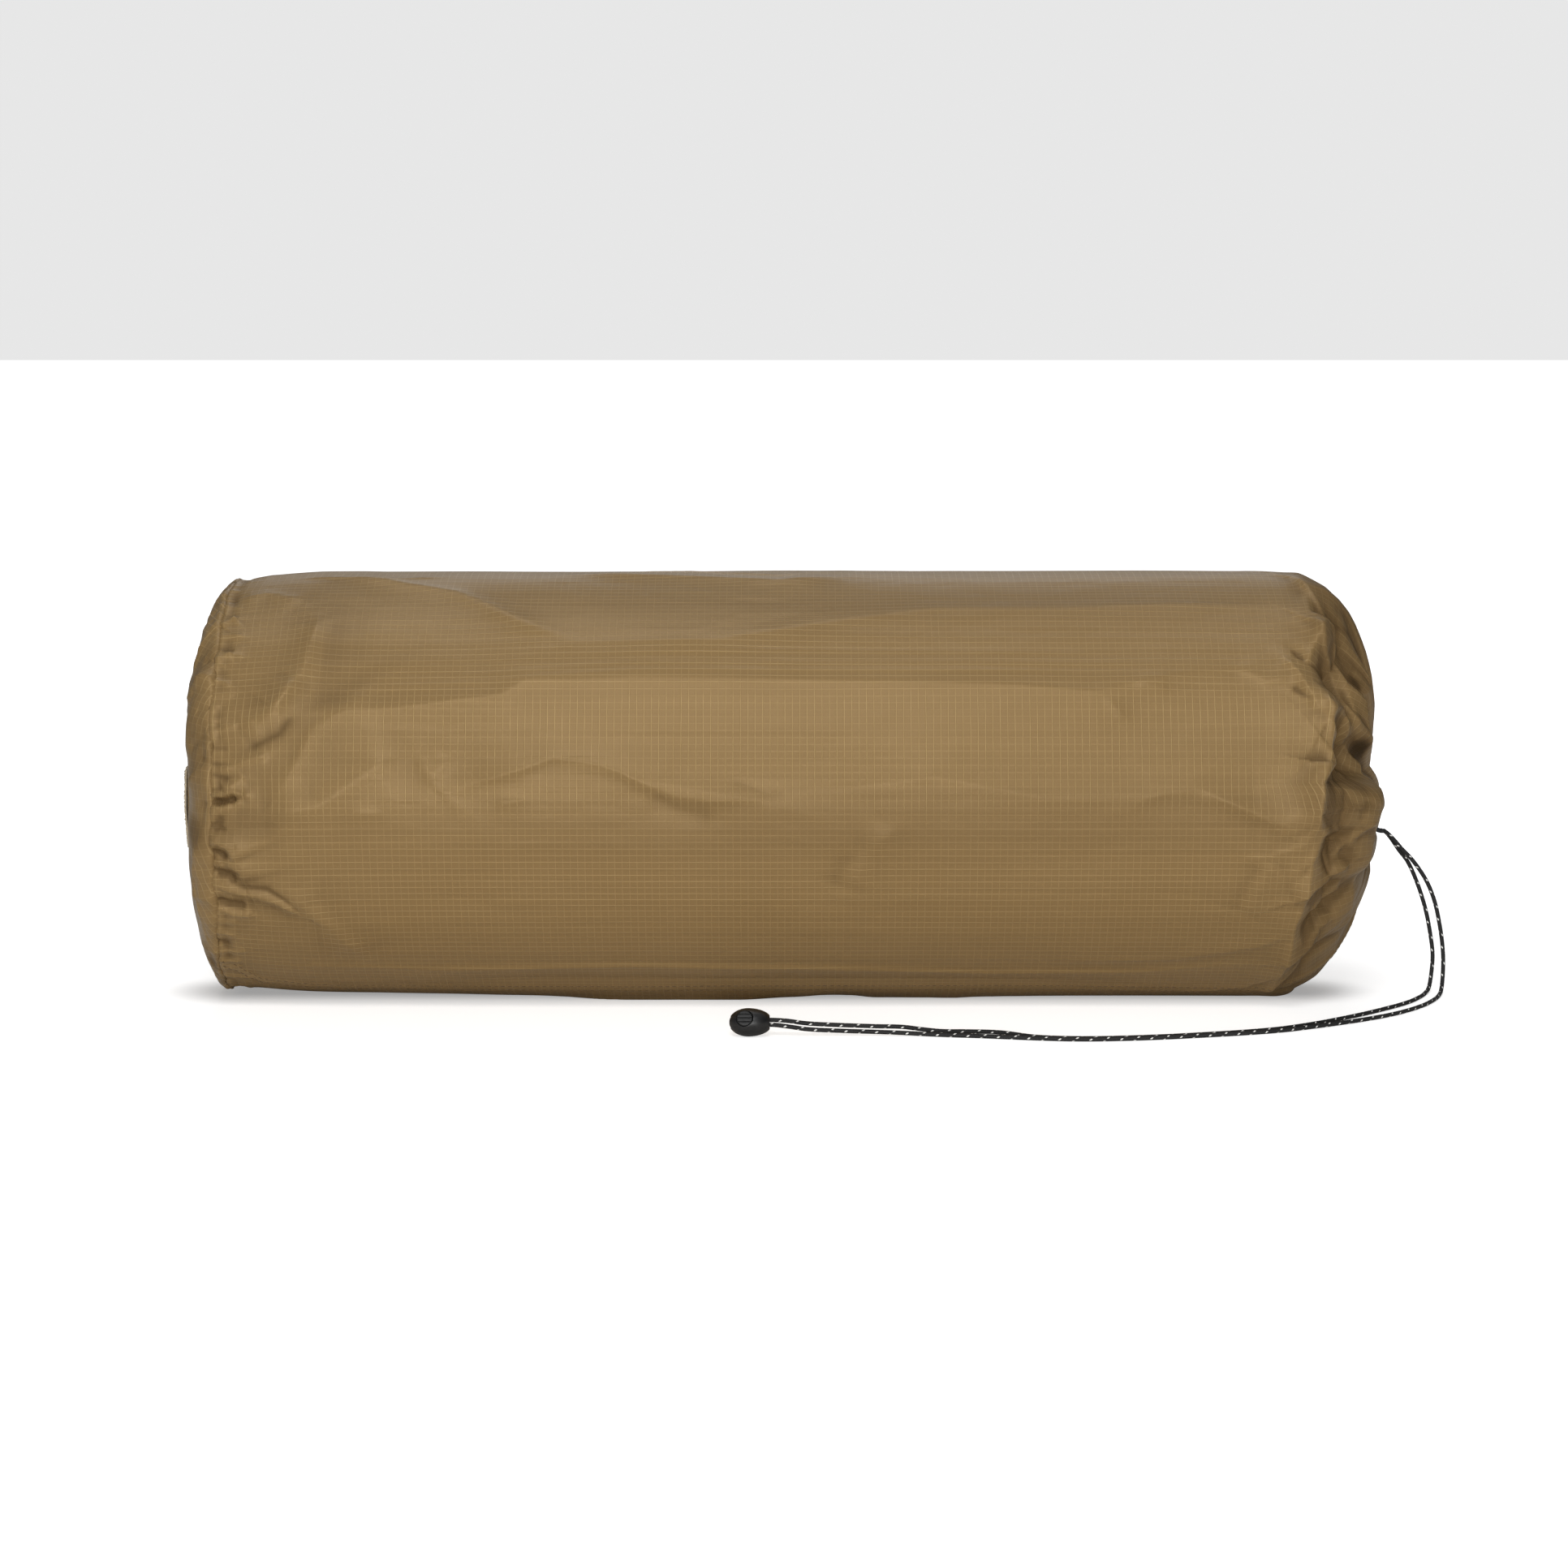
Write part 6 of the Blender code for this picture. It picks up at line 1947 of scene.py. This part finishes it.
    def body(self, finishes: Finishes) -> bpy.types.Object:
        """Builds the housing.

        Args:
            finishes: the materials.

        Returns:
            The piece, which rides and stands in for its solid.
        """
        mesh = turned("lock_housing", self.egg(), 72)
        mesh.transform(self.along_cords(self.place[0]))
        housing = link("lock_housing", mesh)
        frame_matrix = self.frame()
        wide = self.button_radius + self.gap
        low = -(self.radius - self.floor_wall)
        mouth = self.radius + 0.2 * MM
        drop = self.recess + 0.5 * MM
        bore = [(0.0, 0.02), (wide + self.rim + 0.02, 0.02), (wide + self.rim, mouth)]
        for i in range(1, 6):
            turn = math.pi / 2 * i / 5
            out = wide + self.rim * (1 - math.sin(turn))
            bore.append((out, mouth - drop * (1 - math.cos(turn))))
        bore += [(wide, low), (0.0, low)]
        cutters = [self.cutter("bore", turned("bore", bore, 56), frame_matrix)]
        cutters.append(self.slot("passage", -self.passage, self.passage, frame_matrix))
        seat_radius = self.bead_radius + self.gap
        seat = [(0.0, 0.0), (seat_radius, 0.0), (seat_radius, -0.02), (0.0, -0.02)]
        cutters.append(self.cutter("seat", turned("seat", seat, 40), self.along_cords(self.seat_x())))
        housing = coat(self.carve(housing, cutters, 0.16 * MM), finishes.acetal)
        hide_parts("lock_body")
        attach(housing, ROOT)
        return housing

    def button(self, finishes: Finishes) -> bpy.types.Object:
        """Builds the ribbed button, which slides in the housing.

        Args:
            finishes: the materials.

        Returns:
            The piece, which rides and stands in for its solid.
        """
        top = self.radius - self.recess
        bottom = -self.passage - self.web
        edge = self.cap_edge
        profile = [(0.0, top), (self.button_radius - edge, top)]
        for i in range(1, 5):
            turn = math.pi / 2 * i / 4
            wide = self.button_radius - edge * (1 - math.sin(turn))
            profile.append((wide, top - edge * (1 - math.cos(turn))))
        profile += [(self.button_radius, bottom), (0.0, bottom)]
        mesh = turned("lock_button_cap", profile, 56)
        placed = self.frame()
        mesh.transform(placed)
        cap = link("lock_button_cap", mesh)
        cutters = [self.slot("hole", -self.passage, self.passage + self.button_travel, placed)]
        for i in (-1, 0, 1):
            ring = []
            for turn in np.arange(16) * math.pi / 8:
                across = self.groove_width / 2 * math.cos(turn)
                ring.append((across + i * self.groove_pitch, top + self.groove_depth * math.sin(turn)))
            cutters.append(self.bar(f"groove_{i + 2}", ring, 0.01, placed))
        cap = coat(self.carve(cap, cutters, 0.1 * MM), finishes.button)
        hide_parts("lock_plunger")
        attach(cap, BUTTON_BODY)
        return cap

    def spring(self, finishes: Finishes) -> bpy.types.Object:
        """Builds the coil spring under the button.

        Args:
            finishes: the materials.

        Returns:
            The piece, which rides and stands in for its solid.
        """
        low = -(self.radius - self.floor_wall) + self.coil_seat
        high = -self.passage - self.web - self.coil_seat
        share = np.linspace(0.0, 1.0, 118)
        angle = 2 * math.pi * self.coil_turns * share
        wide = self.coil_radius
        local = np.stack([wide * np.cos(angle), wide * np.sin(angle), low + (high - low) * share], 1)
        placed = self.frame()
        line = np.array([tuple(placed @ Vector(point)) for point in local])
        spring = coat(link("lock_coil", tube("lock_coil", line, self.wire_radius, 10)), finishes.spring)
        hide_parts("lock_spring")
        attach(spring, ROOT)
        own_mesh(spring)
        return spring

    def bead(self, finishes: Finishes) -> bpy.types.Object:
        """Builds the heat-sealed bead that both cord ends are fused into.

        Args:
            finishes: the materials.

        Returns:
            The piece, which rides and stands in for its solid.
        """
        radius = self.bead_radius - 0.04 * MM
        flank = -1.9 * MM
        profile = [(0.0, -0.3 * MM), (radius - 0.2 * MM, -0.3 * MM), (radius, -0.5 * MM), (radius, flank)]
        for i in range(1, 9):
            turn = math.pi / 2 * i / 8
            profile.append((radius * math.cos(turn), flank - 0.95 * MM * math.sin(turn)))
        profile[-1] = (0.0, profile[-1][1])
        mesh = turned("cord_ends_bead", profile, 40)
        mesh.transform(self.along_cords(self.seat_x()))
        bead = coat(link("cord_ends_bead", mesh), finishes.braid)
        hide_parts("cord_end_bead")
        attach(bead, ROOT)
        return bead


@dataclass
class Drawcord:
    """The two free strands of the drawcord and its loop in the hem."""

    diameter: float = 2.0 * MM
    exit_x: float = 286.4 * MM
    exit_z: float = 77.5 * MM
    pair: float = 2.6 * MM

    def strand(
        self, name: str, node: str, knots: Sequence[Point], side: int, lock: CordLock, finishes: Finishes
    ) -> tuple[bpy.types.Object, np.ndarray]:
        """Builds one strand, from the mouth to its end in the lock.

        Args:
            name: the piece's name.
            node: the solid that it stands for.
            knots: the points chosen along its way.
            side: which of the two it is, -1 in front and 1 behind.
            lock: the lock that it ends in.
            finishes: the materials.

        Returns:
            The strand and the points that it follows.
        """
        start = Vector((self.exit_x, side * self.pair / 2, self.exit_z))
        lead = start + Vector((0.5 * MM, 0.0, -0.2 * MM))
        tail_x = lock.place[0] + lock.tail
        line = [lead, *(Vector(point) for point in knots), lock.strand(side, tail_x)]
        smooth = route(line, Vector((0.86, 0, -0.5)), Vector((-1, 0, 0)), 900)
        points = np.concatenate([[tuple(start)], smooth, [tuple(lock.strand(side, lock.seat_x()))]])
        length = float(np.linalg.norm(np.diff(points, axis=0), axis=1).sum())
        points = spaced(points, int(length / (0.7 * MM)))
        mesh = tube(name, points, self.diameter / 2, 16)
        strand = coat(link(name, mesh), finishes.cord)
        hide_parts(node)
        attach(strand, ROOT)
        log.info("%s is %.0f mm long", name, length * 1000)
        return strand, points

    def build(self, lock: CordLock, pieces: Sequence[bpy.types.Object], finishes: Finishes) -> None:
        """Args:
            lock: the lock that they end in.
            pieces: what hangs on them; not used.
            finishes: the materials.
        """
        front = ("drawcord_front", "drawcord_front_strand", FRONT_ROUTE, -1)
        rear = ("drawcord_rear", "drawcord_rear_strand", REAR_ROUTE, 1)
        for name, node, knots, side in (front, rear):
            strand, points = self.strand(name, node, knots, side, lock, finishes)
            points[::3].tolist() + [points[-1].tolist()]


@dataclass
class PackedContents:
    """What the sack holds: the rolled fly and tent, the pole bag, the stake bag and the guylines."""

    sharp_degrees: float = 40.0
    roll_fill: float = 0.9
    bag_fill: float = 0.8

    def copy_of(self, node: str, name: str) -> bpy.types.Object:
        """A merged copy of a node's shape."""
        mesh = bpy.data.objects[node].data.copy()
        shape = bmesh.new()
        shape.from_mesh(mesh)
        bmesh.ops.remove_doubles(shape, verts=shape.verts, dist=TOUCHING)
        shape.to_mesh(mesh)
        shape.free()
        mesh.set_sharp_from_angle(angle=math.radians(self.sharp_degrees))
        return link(name, mesh)

    def soft(self, node: str, material: bpy.types.Material, slot: str,
            fill: Optional[float]) -> None:
        """Stands a dressed piece in for a soft solid.

        Args:
            node: the solid.
            material: its finish.
            slot: the record's slot; not used.
            fill: how full it is, where it is a padded piece; not used.
        """
        piece = coat(self.copy_of(node, node + "_cloth"), material)
        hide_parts(node)
        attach(piece, ROOT)

    def build(self, finishes: Finishes) -> None:
        """Dresses everything inside the sack.

        Args:
            finishes: the materials.
        """
        self.soft("rainfly_roll", finishes.fly, "fly_cloth", self.roll_fill)
        self.soft("tent_roll", finishes.tent, "tent_cloth", self.roll_fill)
        self.soft("pole_bag", finishes.fly, "fly_cloth", self.bag_fill)
        self.soft("stake_bag", finishes.fly, "fly_cloth", self.bag_fill)
        self.soft("base_seam_binding", finishes.braid, "black_cord", None)
        self.soft("drawcord_hem_loop", finishes.braid, "black_cord", None)
        for node in [o.name for o in bpy.data.objects]:
            if node.startswith("guyline_hank") or node.endswith("shock_cord"):
                self.soft(node, finishes.braid, "black_cord", None)
        dressed = (
            ("_section_", finishes.aluminium),
            ("_tip_", finishes.acetal),
            ("guyline_tensioner", finishes.acetal),
        )
        for obj in bpy.data.objects:
            if obj.hide_render or obj.type != "MESH":
                continue
            for word, material in dressed:
                if word in obj.name and len(obj.material_slots):
                    obj.material_slots[0].material = material
            if obj.name.startswith("stake_") and obj.name[6:].isdigit():
                obj.material_slots[0].material = finishes.stake


@dataclass(frozen=True)
class SoftBox:
    """A soft lamp: where it hangs, how wide and how high it is, and its power in watts."""

    name: str
    place: Point
    size: tuple[float, float]
    power: float


SOFT_BOXES = (
    SoftBox("key_softbox", (-0.1, -1.75, 1.55), (0.8, 0.45), 16.8),
    SoftBox("top_softbox", (0.0, 0.4, 2.3), (1.6, 0.9), 13.0),
    SoftBox("front_softbox", (0.0, -2.7, 0.24), (1.1, 0.42), 26.8),
    SoftBox("back_softbox", (0.0, 2.4, 1.3), (1.6, 0.8), 3.8),
)


@dataclass
class Studio:
    """The pale floor, the soft lights and the camera."""

    camera_place: Point = (-0.0008, -1.7866, 0.3194)
    look_at: Point = (-0.0008, 0.0, 0.1)
    lit_point: Point = (0.0, 0.0, 0.1)
    focal_mm: float = 86.4
    floor_size: float = 60.0
    footprint: Point = (0.256, 0.0, 0.0)
    footprint_shift: Point = (0.010, 0.0, 0.0)
    painted_contact_shadow_glow: float = 0.30
    floor_glow: float = 0.70
    shadow_share: float = 0.80
    room_light: float = 0.18
    side_light: float = 0.05

    def white(self, name: str) -> bpy.types.Material:
        """Builds a matt floor that looks white to the camera, also through glass, and still takes shadows,
        with a painted contact shadow: a lower glow round the sack's footprint.

        Args:
            name: the material's name.

        Returns:
            The material.
        """
        graph = Graph(name)
        plain_inputs = {"Base Color": (0.95, 0.93, 0.89, 1.0), "Roughness": 0.9, "Specular IOR Level": 0.1}
        lit = graph.node("ShaderNodeBsdfPrincipled", {}, plain_inputs)
        side = graph.vector("ABSOLUTE", graph.vector("ADD", graph.place(), self.footprint_shift))
        beyond = graph.vector("MAXIMUM", graph.vector("SUBTRACT", side, self.footprint))
        away = graph.node("ShaderNodeVectorMath", {"operation": "LENGTH"}, {0: beyond})
        distance = Socket(graph, away.outputs["Value"])
        # Painted contact shadow: the glow is lowest round the sack's footprint and rises to white far away.
        glow = graph.mix(distance.ease(0.006, 0.042), (self.painted_contact_shadow_glow,) * 3, (self.floor_glow,) * 3)
        glow = graph.mix(distance.ease(0.10, 0.90), glow, (1.0, 1.0, 1.0))
        shown_inputs = {"Base Color": (self.shadow_share,) * 3 + (1.0,), "Roughness": 1.0}
        shown_inputs.update({"Specular IOR Level": 0.0, "Emission Color": glow, "Emission Strength": 1.0})
        graph.finish(shown_inputs)
        path = graph.node("ShaderNodeLightPath", {}, {})
        seen = Socket(graph, path.outputs["Is Camera Ray"])
        seen = seen.most(Socket(graph, path.outputs["Is Transmission Ray"]))
        mix = graph.node("ShaderNodeMixShader", {}, {0: seen})
        graph.tree.links.new(lit.outputs[0], mix.inputs[1])
        graph.tree.links.new(graph.shader.outputs[0], mix.inputs[2])
        graph.tree.links.new(mix.outputs[0], graph.tree.nodes["Material Output"].inputs[0])
        return graph.material

    def floor(self) -> None:
        """Lays the floor."""
        half = self.floor_size / 2
        points = np.array([(-half, -half, 0), (half, -half, 0), (half, half, 0), (-half, half, 0)], float)
        mesh = mesh_of("studio_floor", points, np.array([[0, 1, 2, 3]]), None, False)
        floor = coat(link("studio_floor", mesh), self.white("studio_white"))

    def world(self) -> None:
        """Lights the room evenly, and gives the camera a pale background."""
        world = bpy.data.worlds.new("studio_world")
        bpy.context.scene.world = world
        world.use_nodes = True
        tree = world.node_tree
        tree.nodes.clear()
        kinds = ("OutputWorld", "Background", "Background", "TexCoord", "SeparateXYZ", "MapRange")
        out, room, back, way, split, dim = (tree.nodes.new("ShaderNode" + kind) for kind in kinds)
        path, mix = (tree.nodes.new("ShaderNode" + kind) for kind in ("LightPath", "MixShader"))
        room.inputs["Color"].default_value = (1.0, 1.0, 1.0, 1.0)
        back.inputs["Strength"].default_value = 1.0
        dim.interpolation_type = "SMOOTHSTEP"
        for number, value in ((1, 0.15), (2, 0.95), (3, self.room_light), (4, self.side_light)):
            dim.inputs[number].default_value = value
        links = (
            (way.outputs["Generated"], split.inputs[0]),
            (split.outputs[0], dim.inputs[0]),
            (dim.outputs[0], room.inputs["Strength"]),
            (path.outputs["Is Camera Ray"], mix.inputs[0]),
            (room.outputs[0], mix.inputs[1]),
            (back.outputs[0], mix.inputs[2]),
            (mix.outputs[0], out.inputs[0]),
        )
        for start, end in links:
            tree.links.new(start, end)

    def aim(self, obj: bpy.types.Object, place: Point, target: Point) -> None:
        """Puts a lamp or a camera in its place and turns it to a point."""
        way = Vector(target) - Vector(place)
        obj.rotation_euler = way.to_track_quat("-Z", "Y").to_euler()
        obj.location = place

    def lamp(self, box: SoftBox) -> None:
        """Hangs a soft lamp that faces the sack."""
        light = bpy.data.lights.new(box.name, "AREA")
        light.shape = "RECTANGLE"
        light.size, light.size_y = box.size
        light.energy = box.power
        obj = link(box.name, light)
        self.aim(obj, box.place, self.lit_point)

    def camera(self) -> None:
        """Sets the camera at the photograph's place."""
        data = bpy.data.cameras.new("camera")
        data.sensor_fit = "HORIZONTAL"
        data.sensor_width = 36.0
        data.lens = self.focal_mm
        data.clip_end = 50.0
        obj = link("camera", data)
        self.aim(obj, self.camera_place, self.look_at)
        bpy.context.scene.camera = obj

    def build(self) -> None:
        """Sets up the room."""
        self.camera()
        self.floor()
        self.world()
        for box in SOFT_BOXES:
            self.lamp(box)
        bpy.context.scene.view_settings.view_transform = "Standard"


def sew_long_seam(sewing: Stitching, sack: StuffSack, finishes: Finishes) -> None:
    """Sews the two rows of the long seam under the front of the sack and the row round the base seam.

    Args:
        sewing: makes the stitches.
        sack: gives the surface that they lie on.
        finishes: the materials.
    """
    along = sack.rows()
    degrees = sack.columns()
    points, _, _ = sack.surface()
    felled = long_seam(along * 1000)
    for number, shift in ((1, 0.6), (2, 3.9)):
        line = []
        for i, length in enumerate(along):
            if 0.002 < length < 0.575:
                j = int(np.argmin(np.abs(degrees - felled[i] - shift)))
                line.append(points[i, j] + np.array((0.0, -0.0001, 0.0001)))
        sewing.row(f"long_seam_stitches_{number}", np.array(line), finishes.thread, 3.2 * MM, 2.5 * MM)
    row = int(np.argmin(np.abs(along - 0.0034)))
    turns = np.radians(degrees)
    sunk = np.column_stack([np.zeros(len(degrees)), np.cos(turns), -np.sin(turns)])
    ring = points[row] + sunk * 0.30 * MM
    ring = np.concatenate([ring, ring[:1]])
    sewing.row("base_seam_stitches", ring, finishes.thread, 3.0 * MM, 2.3 * MM)


def main() -> None:
    """Builds the room, the cords, the sack and everything in it, in that order."""
    logging.basicConfig(level=logging.INFO, format="%(name)s: %(message)s")
    finishes = Finishes()
    Studio().build()
    log.info("studio")
    lock = CordLock()
    pieces = [lock.body(finishes), lock.button(finishes), lock.spring(finishes), lock.bead(finishes)]
    log.info("cord lock")
    Drawcord().build(lock, pieces, finishes)
    sack = StuffSack()
    sack.build(finishes)
    log.info("sack cloth")
    sewing = Stitching()
    base = BasePanel()
    base.cloth(finishes)
    base.tape(finishes, LoopPile(), sewing)
    log.info("base and loop tape")
    sew_long_seam(sewing, sack, finishes)
    log.info("stitches")
    PackedContents().build(finishes)
    log.info("contents")


if __name__ == "__main__":
    main()
